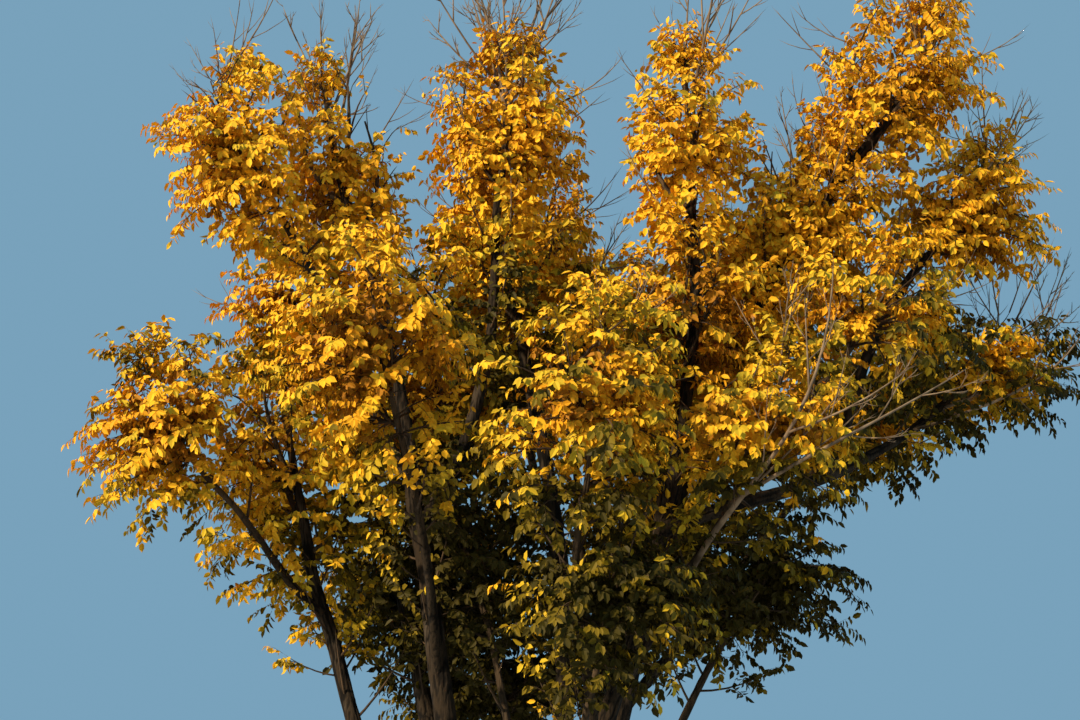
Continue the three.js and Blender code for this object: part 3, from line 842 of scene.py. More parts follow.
def furrow(piece, wood):
    """Presses the bark's furrows into the trunk and the feet of its limbs. They are finer and
    shallower above the fork, and the level cut stays flat."""
    mesh = piece.data
    places = vectors_of(mesh.vertices, "co")
    normals = vectors_of(mesh.vertex_normals, "vector")
    height = places[:, 2]
    upward = smooth_step(*ABOVE_THE_FORK, height)
    ridge = bark_relief(places, between(wood.grain, 0.7 * wood.grain, upward)[:, None])
    depth = wood.relief * between(1.0, 0.5, upward)
    normals[:, 2] *= smooth_step(0.0, 0.05, height)
    under_the_cut = (height < 1e-4) & (np.linalg.norm(normals, axis=1) < 0.5)
    depth[under_the_cut] = 0
    places += normals * ((ridge - BARK_LEVEL) * depth)[:, None]
    places[:, 2] = np.maximum(places[:, 2], 0)
    mesh.vertices.foreach_set("co", places.astype(np.float32).ravel())
    store(mesh, "relief", ridge)
    mesh.polygons.foreach_set("use_smooth", np.full(len(mesh.polygons), True))
    mesh.update()


def limb_wood(number, name, limb):
    """What ringed_wood needs for a limb with its stem, and how young its bark is at each place."""
    shape = BOUGH_MESH if is_bough(name) else BRANCH_MESH
    places, radii = wood_path(name, limb, shape["spacing"])
    away = along_of(places)
    radii = swollen(radii, away, *COLLAR_SWELLING)
    places = wandered(places, radii, number, LIMB_BENDS)
    if limb["parent"] == "trunk":
        seam = foot_length(name) - SEAM["overlap"]
        by, within = SEAM["limb"]
        kept = away > seam
        rising = 1 - by * smooth_step(seam + within, seam, away)
        places, radii = places[kept], (radii * rising)[kept]
    return places, radii, shape["sides"], shape["grain"], smooth_step(*YOUNG_BARK, radii)


def fork_wood(number, limb):
    """The same for the forks of a limb's stem."""
    rings = FORKS["rings"]
    radii = np.linspace(*FORKS["radius"], rings) * limb["radius"][1]
    for fork in zip(*fork_lines(number, limb)):
        line = on_line(fork, np.linspace(0, 1, rings))
        places = wandered(line, radii, number + 0.5, FORK_BENDS)
        yield places, radii, FORK_MESH["sides"], FORK_MESH["grain"], np.ones(rings)


def limbs_piece(wood):
    """Every bough and branch with its stem and the stem's forks, furrowed along its own line."""
    parts, relief, young = [], [], []
    for number, (name, limb) in enumerate(LIMBS.items()):
        for places, radii, sides, grain, youth in (
            limb_wood(number, name, limb), *fork_wood(number, limb)
        ):
            *tube, ridge = ringed_wood(places, radii, sides, grain * wood.grain, wood.relief)
            parts.append(tube)
            relief.append(ridge)
            young.append(np.repeat(youth, sides))
    numbers = {"relief": np.concatenate(relief), "young": np.concatenate(young)}
    return mesh_piece("limbs", *gather(parts), numbers=numbers)


# Growth of the crown

# Twigs on limbs between the masses, and twigs on the leaders of stems.
LIMB_TWIG_LENGTHS = (0.45, 1.0)
LEADER_TWIG_LENGTHS = (0.2, 0.42)
LEADER_TWIGS_PER_METRE = 34
LEADER_TWIGS_FROM = 0.1  # the share of a leader from which twigs grow on it
TWIG_LEANS = (42, 72)  # the angle between such a twig and its limb
LIMB_TWIG_DEPTH = 0.72  # the least depth at which a limb's own twigs end in a mass
OUTERMOST = (1.38, 1.12)  # the greatest, low and high in the crown
OUTERMOST_HEIGHTS = (7.6, 10.2)  # the heights between which the one gives way to the other
OUTERMOST_TWIGLET = 1.4
LOWEST_TWIGLET = LOWEST_TWIG - 0.3

# Twigs of a mass: at which depths they end near its outside and inside it, and how far their
# middle is raised and strays, as shares of their length.
OUTER_DEPTHS = (0.8, 1.02)
INNER_DEPTHS = (0.42, 0.8)
TWIG_ARCH = 0.2
TWIG_SWAY = 0.06
LUMP_PACE = 1.9  # how closely the lumps on a mass's outside follow each other

# Twiglets. first: the share of its twig at which the first one leaves. roll: how far their sides
# are turned from level, with its spread. splay and reach: their angle and length at the twig's
# start and end, with spreads. bend: where along a twiglet it begins to sag.
TWIGLETS = dict(
    first=0.2, roll=(8, 32), splay=(66, 36), splay_spread=9, reach=(0.38, 0.23),
    reach_spread=(0.7, 1.25), bend=0.55,
)

# Leaves. onward and aside: how far the last leaf of a twiglet and its other leaves point on along
# it and to the side. outward and upward: how far leaves face out of the crown and up. stray and
# tilt: how much they differ. size: the least and most, times early for those that grow before
# early_until on their twiglet. stalk: how far a leaf stands off it.
LEAVES = dict(
    onward=(0.9, 0.45), aside=(0.1, 0.8), stray=0.36, outward=0.6, upward=0.55, tilt=0.45,
    size=(0.65, 1.2), early=0.85, early_until=0.3, stalk=0.01,
)

# What the tint of leaves follows. Each pair says where an effect begins and where it is full: a
# height, a place along X, a distance from the crown's heart or, for inner, a depth in a mass.
# Besides turning, these effects paint shade low down, at the lower right, in the heart and deep
# in a mass, and sunlight at the lower left.
TURNING_AND_PAINTED_SHADING = dict(
    sunny=(6.75, 8.65), topmost=(9.1, 11.2), left=(-0.8, -3.0), left_below=(9.0, 7.4),
    right=(2.6, 4.4), right_below=(10.5, 9.6), heart=(1.9, 0.9), heart_below=(11.0, 10.2),
    inner=(0.95, 0.5), browning=(7.6, 8.4), fading=(9.5, 11.3), even=(8.0, 10.0),
)
# How far each effect turns leaves, and for the effects of place also how much shade or sunlight
# it paints. sun stands for sunny and topmost together. deep and the others named after it only
# work deep in a mass. whim: how much sprays differ, and less_whim by how much less they do once
# that is even.
TINT = dict(
    least=0.12, sun=0.42, sunny=0.68, topmost=0.38, left=0.3, right=0.3, heart=0.3, drift=0.14,
    deep=0.24, deep_browning=0.74, deep_fading=0.34, deep_left=0.2, whim=0.13, less_whim=0.04,
)
HEART_OF_CROWN = (-0.1, 0.3)  # in X and Y
SEEMING_SLOPE = 0.26  # by how much places further back count as lower
TINT_DRIFT = 1.1  # the distance over which the tint drifts


def along_rows(counts):
    """For rows with the given counts of children: each child's row, rank and row's count."""
    owner = np.repeat(np.arange(len(counts)), counts)
    starts = np.cumsum(counts) - counts
    return owner, np.arange(len(owner)) - starts[owner], counts[owner]


def twig_start(line, ends):
    """Where twigs leave a stem or a fork, low enough to climb to their ends."""
    low, high = line[0], line[-1]
    aside = np.linalg.norm((ends - low)[:, :2], axis=1)
    share = (ends[:, 2] - TWIG_SLOPE * aside - low[2]) / (high[2] - low[2])
    return on_line(line, np.clip(share, 0.06, 0.94))


def nearest_start(order, limb, ends):
    """Where each twig leaves the stem or that fork of it which is nearest to the twig's end."""
    carriers = [limb["stem"], *zip(*fork_lines(order, limb))]
    starts = np.array([twig_start(line, ends) for line in carriers])
    nearest = np.linalg.norm(ends - starts, axis=-1).argmin(axis=0)
    return starts[nearest, np.arange(len(ends))]


def leaning(forward, lean, turn):
    """Directions that lean away from the given ones, turned about them."""
    first = unit(np.cross(forward, UP + 0.01))
    second = np.cross(forward, first)
    side = first * np.cos(turn) + second * np.sin(turn)
    return forward * np.cos(lean) + side * np.sin(lean)


def alternate_sides(forward, rank):
    """Level directions to the left and to the right by turns."""
    return unit(np.cross(forward, UP)) * np.where(rank % 2, 1, -1)[:, None]


def twigs_round(line, low, per_metre, lengths, turn, random):
    """Twigs all round a line, from the share low of it to its end."""
    count = round(per_metre * measured(line, 30) * (1 - low))
    share = between(low, 1, (np.arange(count) + random.random(count)) / count)
    start, forward = on_line(line, share), direction_on_line(line, share)
    turn = (np.arange(count) * GOLDEN_ANGLE + turn)[:, None]
    lean = np.radians(random.uniform(*TWIG_LEANS, count))[:, None]
    way = leaning(forward, lean, turn)
    reach = random.uniform(*lengths, count)[:, None]
    return [start, start + 0.5 * reach * way, start + reach * unit(way + 0.3 * UP)]


def grow_limb_twigs(foliage, random):
    """Twigs on the outer part of every limb, where it runs between masses, and on every leader.
    Each counts to the mass that it is nearest to."""
    parts, least = [], []
    for name, limb in LIMBS.items():
        per_metre = foliage.limb_twigs_per_metre * LEAFIER.get(name, 1)
        rows = twigs_round(
            LINES[name], LIMB_TWIGS_FROM, per_metre, LIMB_TWIG_LENGTHS, limb["turn"], random
        )
        top = twigs_round(
            leader_line(limb), LEADER_TWIGS_FROM, LEADER_TWIGS_PER_METRE, LEADER_TWIG_LENGTHS,
            limb["turn"], random,
        )
        parts += [rows, top]
        least += [np.full(len(rows[0]), LIMB_TWIG_DEPTH), np.zeros(len(top[0]))]
    lines = [np.concatenate(column) for column in zip(*parts)]
    start, _, end = lines
    depths = depths_in_all(end)
    nearest = depths.min(axis=1)
    most = between(*OUTERMOST, smooth_step(*OUTERMOST_HEIGHTS, end[:, 2]))
    fits = (nearest > np.concatenate(least)) & (nearest < most) & (end[:, 2] > LOWEST_TWIG)
    fits &= clear_of_limbs(end, END_CLEARANCE)
    fits &= clear_of_limbs(between(start, end, 0.6), CLEARANCE)
    return depths.argmin(axis=1)[fits], [part[fits] for part in lines]


def twig_ends(limb, foliage, random):
    """Where a mass's twigs end: five in eight near its outside, which has lumps and shoulders, and
    the others inside it."""
    count = round(foliage.twigs_per_metre * limb["half"].mean())
    k = np.arange(count)
    height = 1 - (2 * k + 1) / count
    around = k * GOLDEN_ANGLE + limb["turn"] + 0.5 * random.random(count)
    flat = np.sqrt(1 - height**2)
    way = np.stack([flat * np.cos(around), flat * np.sin(around), height], -1)
    lumps = 1 + foliage.lumpiness * swell(LUMP_PACE * way + 7 * limb["turn"], LUMP_SEED)
    shoulders = 1 + foliage.shoulders * 4 * (height * flat) ** 2
    outer = between(*OUTER_DEPTHS, random.random(count)) * lumps * shoulders
    inner = between(*INNER_DEPTHS, random.random(count))
    depth = np.where(k % 8 < 5, outer, inner)[:, None]
    return limb["middle"] + limb["half"] * (depth * way + foliage.twig_rise * UP)


def grow_twigs(foliage, random):
    """The twigs of every mass: the order of their mass and the control points of their lines."""
    orders, parts = [], []
    for order, limb in enumerate(LIMBS.values()):
        end = twig_ends(limb, foliage, random)
        start = nearest_start(order, limb, end)
        length = np.linalg.norm(end - start, axis=1)[:, None]
        shift = random.normal(0, TWIG_SWAY, end.shape) + TWIG_ARCH * UP
        orders.append(np.full(len(end), order))
        parts.append((start, between(start, end, 0.5) + shift * length, end))
    order = np.concatenate(orders)
    lines = [np.concatenate(column) for column in zip(*parts)]
    fits = lines_fit(order, lines, (0.45, 0.7, 1), CLEARANCE)
    return order[fits], [part[fits] for part in lines]


def keeps_views(twiglets, random):
    """False for most of the twiglets that stand before a limb that shows or in a gap of sky."""
    hides = np.zeros(len(twiglets[0]), bool)
    for share in (0.3, 0.65, 1):
        hides |= hides_a_limb(on_line(twiglets, np.full(len(hides), share)))
    whim = random.random(len(hides))
    return (~hides | (whim < SIGHT_COVER)) & (~in_a_gap(twiglets[2]) | (whim < GAP_COVER))


def grow_twiglets(foliage, random, twig_order, twigs, kept):
    """Twiglets on alternate sides of each twig, and one at its end, which all sag a little.
    kept(order, places) tells which of their ends are where they may be."""
    t = TWIGLETS
    length = np.linalg.norm(twigs[2] - twigs[0], axis=1)
    room = 1 - t["first"]
    counts = np.maximum(np.round(length * room / foliage.twiglet_spacing), 3).astype(int)
    owner, rank, count = along_rows(counts)
    many, last = len(owner), rank == count - 1
    share = t["first"] + room * (rank + 0.35 + 0.3 * random.random(many)) / count
    share = np.where(last, 1.0, np.clip(share, 0, 1))
    lines = [part[owner] for part in twigs]
    start, forward = on_line(lines, share), direction_on_line(lines, share)
    roll = np.radians(random.normal(*t["roll"], many))[:, None]
    side = alternate_sides(forward, rank) * np.cos(roll) + UP * np.sin(roll)
    splay = np.radians(between(*t["splay"], share) + random.normal(0, t["splay_spread"], many))
    splay = np.where(last, 0, splay)[:, None]
    way = unit(forward * np.cos(splay) + side * np.sin(splay))
    reach = (between(*t["reach"], share) * random.uniform(*t["reach_spread"], many))[:, None]
    end = start + way * reach - foliage.twiglet_sag * reach * UP
    twiglets = [start, start + way * reach * t["bend"], end]
    order = twig_order[owner]
    fits = kept(order, end) & clear_of_limbs(between(start, end, 0.6), CLEARANCE)
    fits &= keeps_views(twiglets, random)
    return order[fits], [part[fits] for part in twiglets]


def grow_leaves(foliage, random, order, twiglets):
    """Leaves that hang on alternate sides of each twiglet, and one at its end."""
    length = np.linalg.norm(twiglets[2] - twiglets[0], axis=1)
    counts = np.maximum(np.round(length / foliage.leaf_spacing), 2).astype(int)
    owner, rank, count = along_rows(counts)
    many, share = len(owner), (rank + 1) / count
    lines = [part[owner] for part in twiglets]
    place, forward = on_line(lines, share), direction_on_line(lines, share)
    last = (rank == count - 1)[:, None]
    hang = random.uniform(*sorted((foliage.least_hang, foliage.most_hang)), many)
    stray = random.normal(0, LEAVES["stray"], (many, 3))
    onward = forward * np.where(last, *LEAVES["onward"])
    aside = alternate_sides(forward, rank) * np.where(last, *LEAVES["aside"])
    along = unit(onward + aside - UP * hang[:, None] + stray)
    outward = unit(place - MIDDLES[order[owner]])
    sideways = unit(place * np.array([1, 1, 0]))
    facing = outward + LEAVES["outward"] * sideways + LEAVES["upward"] * UP
    facing = facing + random.normal(0, LEAVES["tilt"], (many, 3))
    size = random.uniform(*LEAVES["size"], many)
    size = size * np.where(share < LEAVES["early_until"], LEAVES["early"], 1)
    place = place + LEAVES["stalk"] * along
    return dict(place=place, along=along, facing=facing, size=size, spray=owner)


def ripeness_and_painted_shading(places, spray_whim):
    """How far the leaves of each spray have turned, from 0 for olive to 1 for russet, with painted
    shading of place. They turn last low down, to the lower right and in the heart of the crown,
    which paints the shade there, and sooner at the lower left, which paints its sunlight. Deep in a
    mass they are olive if it is low and russet if it is high, which paints the shade inside it."""
    x, y, z = places.T
    height = z - SEEMING_SLOPE * y
    t = TINT

    def turned(key, value):
        return smooth_step(*TURNING_AND_PAINTED_SHADING[key], value)

    sun = t["sunny"] * turned("sunny", height) + t["topmost"] * turned("topmost", height)
    left = turned("left", x) * turned("left_below", height)
    right = turned("right", x) * turned("right_below", height)
    heart = turned("heart", np.linalg.norm(places[:, :2] - HEART_OF_CROWN, axis=1))
    heart = heart * turned("heart_below", z)
    inner = turned("inner", depths_in_all(places).min(axis=1))
    deep = t["deep_browning"] * turned("browning", height)
    deep = deep - t["deep_fading"] * turned("fading", height) - t["deep"] + t["deep_left"] * left
    ripe = t["least"] + t["sun"] * sun + t["left"] * left - t["right"] * right
    ripe = ripe - t["heart"] * heart + deep * inner
    whim = t["whim"] - t["less_whim"] * turned("even", height)
    return ripe + t["drift"] * swell(places / TINT_DRIFT, DRIFT_SEED) + whim * spray_whim


def in_own_mass(order, places):
    return own_place(order, places, LEAF_LIMIT)


def near_a_mass(order, places):
    near = depths_in_all(places).min(axis=1) < OUTERMOST_TWIGLET
    return (places[:, 2] > LOWEST_TWIGLET) & near & in_crown_box(places)


LEAF_WHIM = 0.035  # how much further one leaf of a spray has turned than the next
GROWN = {}


def crown(foliage):
    """The whole crown's twigs, twiglets and leaves, grown once and then kept."""
    if not GROWN:
        random = np.random.default_rng(foliage.seed)
        order, twigs = grow_twigs(foliage, random)
        owners, twiglets = grow_twiglets(foliage, random, order, twigs, in_own_mass)
        order, more_twigs = grow_limb_twigs(foliage, random)
        more_owners, more = grow_twiglets(foliage, random, order, more_twigs, near_a_mass)
        twigs = [np.concatenate(pair) for pair in zip(twigs, more_twigs)]
        twiglets = [np.concatenate(pair) for pair in zip(twiglets, more)]
        leaves = grow_leaves(foliage, random, np.concatenate([owners, more_owners]), twiglets)
        spray = leaves["spray"]
        # The tints of place also paint shade low in the crown, at its lower right, in its heart and
        # deep in its masses, and sunlight at its lower left.
        turned = ripeness_and_painted_shading(twiglets[2], random.normal(0, 1, len(twiglets[2])))
        leaves["turned"] = turned[spray] + random.normal(0, LEAF_WHIM, len(spray))
        GROWN.update(twigs=twigs, twiglets=twiglets, leaves=leaves)
    return GROWN


def twig_tubes(lines, radius, rings, sides):
    """Pointed tubes along many lines at once, thicker where a line is longer than most."""
    shares = np.linspace(0, 1, rings)
    spread = [np.repeat(part[:, None], rings, axis=1) for part in lines]
    places = on_line(spread, np.broadcast_to(shares, (len(lines[0]), rings)))
    length = np.linalg.norm(lines[-1] - lines[0], axis=1)[:, None]
    thickness = np.clip(length / np.median(length), 0.6, 1.4)
    return tubes(places, between(*radius, shares)[None] * thickness, sides, True)


# Bare shoots

# radius: at the start and the tip. at: where side shoots leave their line, as shares of it. lean:
# the least and most angle between them and the line. length: their least and most length, as a
# share of what is left of the line. rings and sides: of their tubes.
SHOOTS = dict(
    tall=dict(radius=(0.019, 0.0035), rings=9, sides=6),
    beside=dict(
        at=(0.12, 0.34), lean=(22, 48), length=(0.45, 0.85),
        radius=(0.011, 0.003), rings=7, sides=5,
    ),
    tip=dict(radius=(0.0085, 0.0025), rings=6, sides=5),
    forked=dict(radius=(0.0085, 0.0025), rings=6, sides=5),
    side=dict(
        at=(0.46, 0.62, 0.76, 0.9), lean=(22, 44), length=(0.3, 0.62),
        radius=(0.0062, 0.0022), rings=5, sides=4,
    ),
    fork_side=dict(
        at=(0.35, 0.6, 0.8), lean=(22, 42), length=(0.4, 0.7),
        radius=(0.0046, 0.002), rings=4, sides=3,
    ),
    tip_side=dict(
        at=(0.3, 0.52, 0.74), lean=(22, 44), length=(0.35, 0.7),
        radius=(0.0044, 0.002), rings=4, sides=3,
    ),
    fine=dict(
        at=(0.4, 0.7), lean=(20, 42), length=(0.4, 0.75),
        radius=(0.0042, 0.0018), rings=4, sides=3,
    ),
    dead_side=dict(
        at=(0.3, 0.42, 0.54, 0.65, 0.76, 0.87), lean=(22, 52), length=(0.35, 0.75),
    ),
    dead_fine=dict(
        at=(0.3, 0.5, 0.7, 0.85), lean=(22, 50), length=(0.35, 0.7),
        radius=(0.005, 0.002), rings=4, sides=4,
    ),
    dead_last=dict(
        at=(0.4, 0.7), lean=(20, 48), length=(0.4, 0.8),
        radius=(0.0036, 0.0018), rings=3, sides=3,
    ),
)
SHOOT_TURN = 2.4  # the angle from one side shoot to the next about their line, in radians
SHOOT_SWAY = 0.035  # how far the middle of a shoot strays, as a share of its length
SHOOT_SEED = 40  # keeps the shoots' draws apart from those of the crown

# Tubes of the dead limbs and of their side shoots, which start at the given share of the limb's
# radius and end at the given radius.
DEAD_LIMB_TUBE = dict(rings=16, sides=8)
DEAD_SIDE_TUBE = dict(rings=6, sides=5)
DEAD_SIDE_RADIUS = (0.32, 0.003)

# Dead tips of twigs. depth: the least depth in every mass. high: the height from which twigs have
# them. right and right_high: at the right, the X and the height from which they do. shares: how
# many of the tips are high and how many at the right. lengths: the least and most.
DEAD_TIPS = dict(
    depth=0.85, high=10.4, right=4.4, right_high=8.2, shares=(0.7, 0.3), lengths=(0.35, 1.15),
)


def seeded(seed):
    """Numbers from 0 to 1 that the solids' shoots use too."""
    state = seed
    while True:
        state = (state * 1664525 + 1013904223) % 4294967296
        yield state / 4294967296


def solid_shoots():
    """The start and the end of each bare shoot of the solids, and the end of its side shoot."""
    for order, limb in enumerate(LIMBS.values()):
        draw = seeded(limb["seed"])
        for _ in range(2 * round(SOLID_TWIGS_PER_METRE * limb["half"].mean())):
            next(draw)
        for k in range(limb["bare"][0]):
            around = math.degrees(k * GOLDEN_ANGLE + limb["turn"])
            way = heading(around, between(*SHOOT_LEAN, next(draw)))
            way = unit(way + SHOOT_FOLLOW * heading(*limb["arrive"]))
            start = on_line(limb["stem"], between(*SHOOTS_FROM, next(draw)))
            reach = SHOOT_DEPTH * reach_of(limb["half"], way)
            reach += limb["bare"][1] * between(0.65, 1, next(draw))
            end = start + reach * way
            side_way = heading(around + between(-50, 50, next(draw)), 40)
            test = on_line([start, end], np.array([0.4, 0.7, 1]))
            if own_place(np.full(3, order), test, SHOOT_LIMIT).all():
                fork = between(start, end, SHOOT_FORK)
                yield start, end, fork + SIDE_SHOOT_LENGTH * reach * side_way


def kept_in_box(lines):
    """Those of the given lines that end inside the box of the solids."""
    inside = in_crown_box(lines[-1])
    return [part[inside] for part in lines]


def side_shoots(kind, lines, random):
    """Shoots of one kind that leave each of the given lines all round it and bend upwards."""
    shape = SHOOTS[kind]
    owner, rank, _ = along_rows(np.full(len(lines[0]), len(shape["at"])))
    share = np.asarray(shape["at"])[rank] + random.normal(0, 0.02, len(owner))
    picked = [part[owner] for part in lines]
    start, forward = on_line(picked, share), direction_on_line(picked, share)
    turn = random.uniform(0, 2 * np.pi, len(lines[0]))[owner] + rank * SHOOT_TURN
    lean = np.radians(random.uniform(*shape["lean"], len(owner)))[:, None]
    way = leaning(forward, lean, turn[:, None])
    reach = np.linalg.norm(picked[-1] - picked[0], axis=1) * (1.15 - share)
    reach = (reach * random.uniform(*shape["length"], len(owner)))[:, None]
    bend = start + 0.5 * reach * way
    return kept_in_box([start, bend, bend + 0.5 * reach * unit(way + 0.5 * UP)])


def shoot_tubes(kind, lines):
    shape = SHOOTS[kind]
    return twig_tubes(lines, shape["radius"], shape["rings"], shape["sides"])


def dead_tips(twigs, count, random):
    """Bare ends of some twigs on the outside of the crown, high in it and at its right."""
    t, ends = DEAD_TIPS, twigs[2]
    way = direction_on_line(twigs, np.ones(len(ends)))
    outside = (depths_in_all(ends).min(axis=1) > t["depth"]) & (way[:, 2] > -0.1)
    high = outside & (ends[:, 2] > t["high"])
    right = outside & ~high & (ends[:, 0] > t["right"]) & (ends[:, 2] > t["right_high"])
    lots = [random.permutation(np.flatnonzero(part)) for part in (high, right)]
    chosen = np.concatenate([
        lot[: round(share * count)] for lot, share in zip(lots, t["shares"])
    ])
    way = unit(way[chosen] + random.normal(0, 0.14, (len(chosen), 3)) + 0.15 * UP)
    reach = random.uniform(*t["lengths"], len(chosen))[:, None]
    start = on_line([part[chosen] for part in twigs], np.full(len(chosen), 0.7))
    bend = start + 0.5 * reach * way + random.normal(0, 0.04, start.shape)
    return kept_in_box([start, bend, start + reach * unit(way + 0.25 * UP)])


def dead_limbs(random):
    """The forked dead limbs as tubes."""
    parts = []
    side_share, side_tip = DEAD_SIDE_RADIUS
    for limb in DEAD_LIMBS:
        start = on_line(LINES[limb["parent"]], limb["at"])
        line = [np.array([place], float) for place in (start, *limb["by"], limb["tip"])]
        side = side_shoots("dead_side", line, random)
        fine = side_shoots("dead_fine", side, random)
        last = side_shoots("dead_last", fine, random)
        side_radius = (side_share * limb["radius"][0], side_tip)
        parts += [
            twig_tubes(line, limb["radius"], **DEAD_LIMB_TUBE),
            twig_tubes(side, side_radius, **DEAD_SIDE_TUBE),
            shoot_tubes("dead_fine", fine),
            shoot_tubes("dead_last", last),
        ]
    return parts


def shoots_piece(twigs, foliage):
    """Dead shoots in fans: those of the solids, companions beside them, and finer shoots on all."""
    random = np.random.default_rng(foliage.seed + SHOOT_SEED)
    start, end, side_end = (np.array(column) for column in zip(*solid_shoots()))
    sway = random.normal(0, SHOOT_SWAY, start.shape) * np.linalg.norm(end - start, axis=1)[:, None]
    tall = [start, between(start, end, 0.5) + sway, end]
    fork = on_line(tall, np.full(len(start), SHOOT_FORK))
    forked = kept_in_box([fork, between(fork, side_end, 0.5) + 0.05 * UP, side_end])
    beside = side_shoots("beside", tall, random)
    tip = dead_tips(twigs, foliage.dead_tips, random)
    side = side_shoots("side", [np.concatenate(pair) for pair in zip(tall, beside)], random)
    fine = side_shoots("fine", side, random)
    fork_side = side_shoots("fork_side", forked, random)
    tip_side = side_shoots("tip_side", tip, random)
    kinds = dict(
        tall=tall, beside=beside, tip=tip, forked=forked, side=side, fork_side=fork_side,
        tip_side=tip_side, fine=fine,
    )
    parts = [shoot_tubes(kind, lines) for kind, lines in kinds.items()]
    return mesh_piece("bare_shoots", *gather(parts + dead_limbs(random)))


# Nodes


class Wire:
    """A number in a node tree that arithmetic works on. Each operation adds a Math node."""

    def __init__(self, nodes, socket):
        self.nodes = nodes
        self.socket = socket

    def maths(self, operation, first, second):
        node = self.nodes.add("ShaderNodeMath", {"operation": operation}, {0: first, 1: second})
        return Wire(self.nodes, node.outputs[0])

    def __add__(self, other):
        return self.maths("ADD", self, other)

    def __radd__(self, other):
        return self.maths("ADD", other, self)

    def __sub__(self, other):
        return self.maths("SUBTRACT", self, other)

    def __rsub__(self, other):
        return self.maths("SUBTRACT", other, self)

    def __mul__(self, other):
        return self.maths("MULTIPLY", self, other)

    def __rmul__(self, other):
        return self.maths("MULTIPLY", other, self)


class Nodes:
    """What materials and Geometry Nodes trees share: self.tree, and nodes that go into it."""

    def add(self, kind, settings=None, sockets=None):
        """Any node, with its settings and then the values or links of its sockets."""
        node = self.tree.nodes.new(kind)
        for key, value in (settings or {}).items():
            setattr(node, key, value)
        for key, value in (sockets or {}).items():
            value = value.socket if isinstance(value, Wire) else value
            if isinstance(value, bpy.types.NodeSocket):
                self.tree.links.new(value, node.inputs[key])
            else:
                node.inputs[key].default_value = value
        return node


# Leaves


def leaf_pattern(foliage):
    """One leaf, a unit long: a pointed oval, folded along its middle and drooping to its tip."""
    half = foliage.leaf_width / 2
    fold, droop = foliage.leaf_fold, foliage.leaf_droop
    points = [
        (0, 0, 0),
        (1, 0, -droop),
        (0.24, 0.86 * half, fold),
        (0.64, 0.94 * half, fold - 0.5 * droop),
        (0.19, -0.92 * half, fold),
        (0.58, -half, fold - 0.4 * droop),
    ]
    faces = [(0, 1, 3), (0, 3, 2), (0, 4, 5), (0, 5, 1)]
    pattern = mesh_piece("leaf_pattern", np.array(points, float), [np.array(faces)], smooth=False)
    bpy.context.scene.collection.objects.unlink(pattern)
    return pattern


class NodeTree(Nodes):
    """A Geometry Nodes tree with the given inputs, by their names and kinds."""

    def __init__(self, name, kinds):
        self.tree = bpy.data.node_groups.new(name, "GeometryNodeTree")
        self.inputs = {}
        for label, kind in kinds.items():
            socket = self.tree.interface.new_socket(
                label, in_out="INPUT", socket_type="NodeSocket" + kind
            )
            self.inputs[label] = socket.identifier
        self.tree.interface.new_socket(
            "Leaves", in_out="OUTPUT", socket_type="NodeSocketGeometry"
        )
        self.start = self.tree.nodes.new("NodeGroupInput")

    def given(self, label):
        return Wire(self, self.start.outputs[label])

    def attribute(self, name, kind):
        node = self.add("GeometryNodeInputNamedAttribute", {"data_type": kind}, {"Name": name})
        return Wire(self, node.outputs[0])


def leaf_tree():
    """The node tree that sets a leaf on each place, uneven in width, and paints them all."""
    grow = NodeTree("Leaves on their places", {
        "Places": "Geometry", "Leaf": "Object", "Leaf length": "Float", "Unevenness": "Float",
        "Seed": "Int", "Material": "Material",
    })
    turned = grow.add(
        "FunctionNodeAxesToRotation",
        {"primary_axis": "X", "secondary_axis": "Z"},
        {
            "Primary Axis": grow.attribute("along", "FLOAT_VECTOR"),
            "Secondary Axis": grow.attribute("facing", "FLOAT_VECTOR"),
        },
    )
    unevenness = grow.given("Unevenness")
    uneven = grow.add(
        "FunctionNodeRandomValue", {"data_type": "FLOAT"},
        {2: 1 - unevenness, 3: 1 + unevenness, "Seed": grow.given("Seed")},
    )
    length = grow.attribute("size", "FLOAT") * grow.given("Leaf length")
    width = length * Wire(grow, uneven.outputs[1])
    scale = grow.add("ShaderNodeCombineXYZ", None, {"X": length, "Y": width, "Z": length})
    leaf = grow.add("GeometryNodeObjectInfo", None, {"Object": grow.given("Leaf")})
    set_out = grow.add("GeometryNodeInstanceOnPoints", None, {
        "Points": grow.given("Places"),
        "Instance": leaf.outputs["Geometry"],
        "Rotation": turned.outputs[0],
        "Scale": scale.outputs[0],
    })
    real = grow.add("GeometryNodeRealizeInstances", None, {"Geometry": set_out.outputs[0]})
    painted = grow.add(
        "GeometryNodeSetMaterial", None,
        {"Geometry": real.outputs[0], "Material": grow.given("Material")},
    )
    grow.add("NodeGroupOutput", None, {0: painted.outputs[0]})
    return grow


LEAF_NUMBERS = ("along", "facing", "size")  # what a place tells its leaf


def leaf_piece(name, leaves, chosen, grow, pattern, foliage, material):
    """The chosen leaves as one plain mesh."""
    numbers = {key: leaves[key][chosen] for key in LEAF_NUMBERS}
    piece = mesh_piece(name, leaves["place"][chosen], [], numbers)
    nodes = piece.modifiers.new("Leaves", "NODES")
    nodes.node_group = grow.tree
    given = {
        "Leaf": pattern,
        "Leaf length": foliage.leaf_length,
        "Unevenness": foliage.unevenness,
        "Seed": foliage.seed,
        "Material": material,
    }
    for key, value in given.items():
        nodes[grow.inputs[key]] = value
    settle(piece)
    for key in LEAF_NUMBERS:
        found = piece.data.attributes.get(key)
        if found:
            piece.data.attributes.remove(found)
    return piece


# Materials


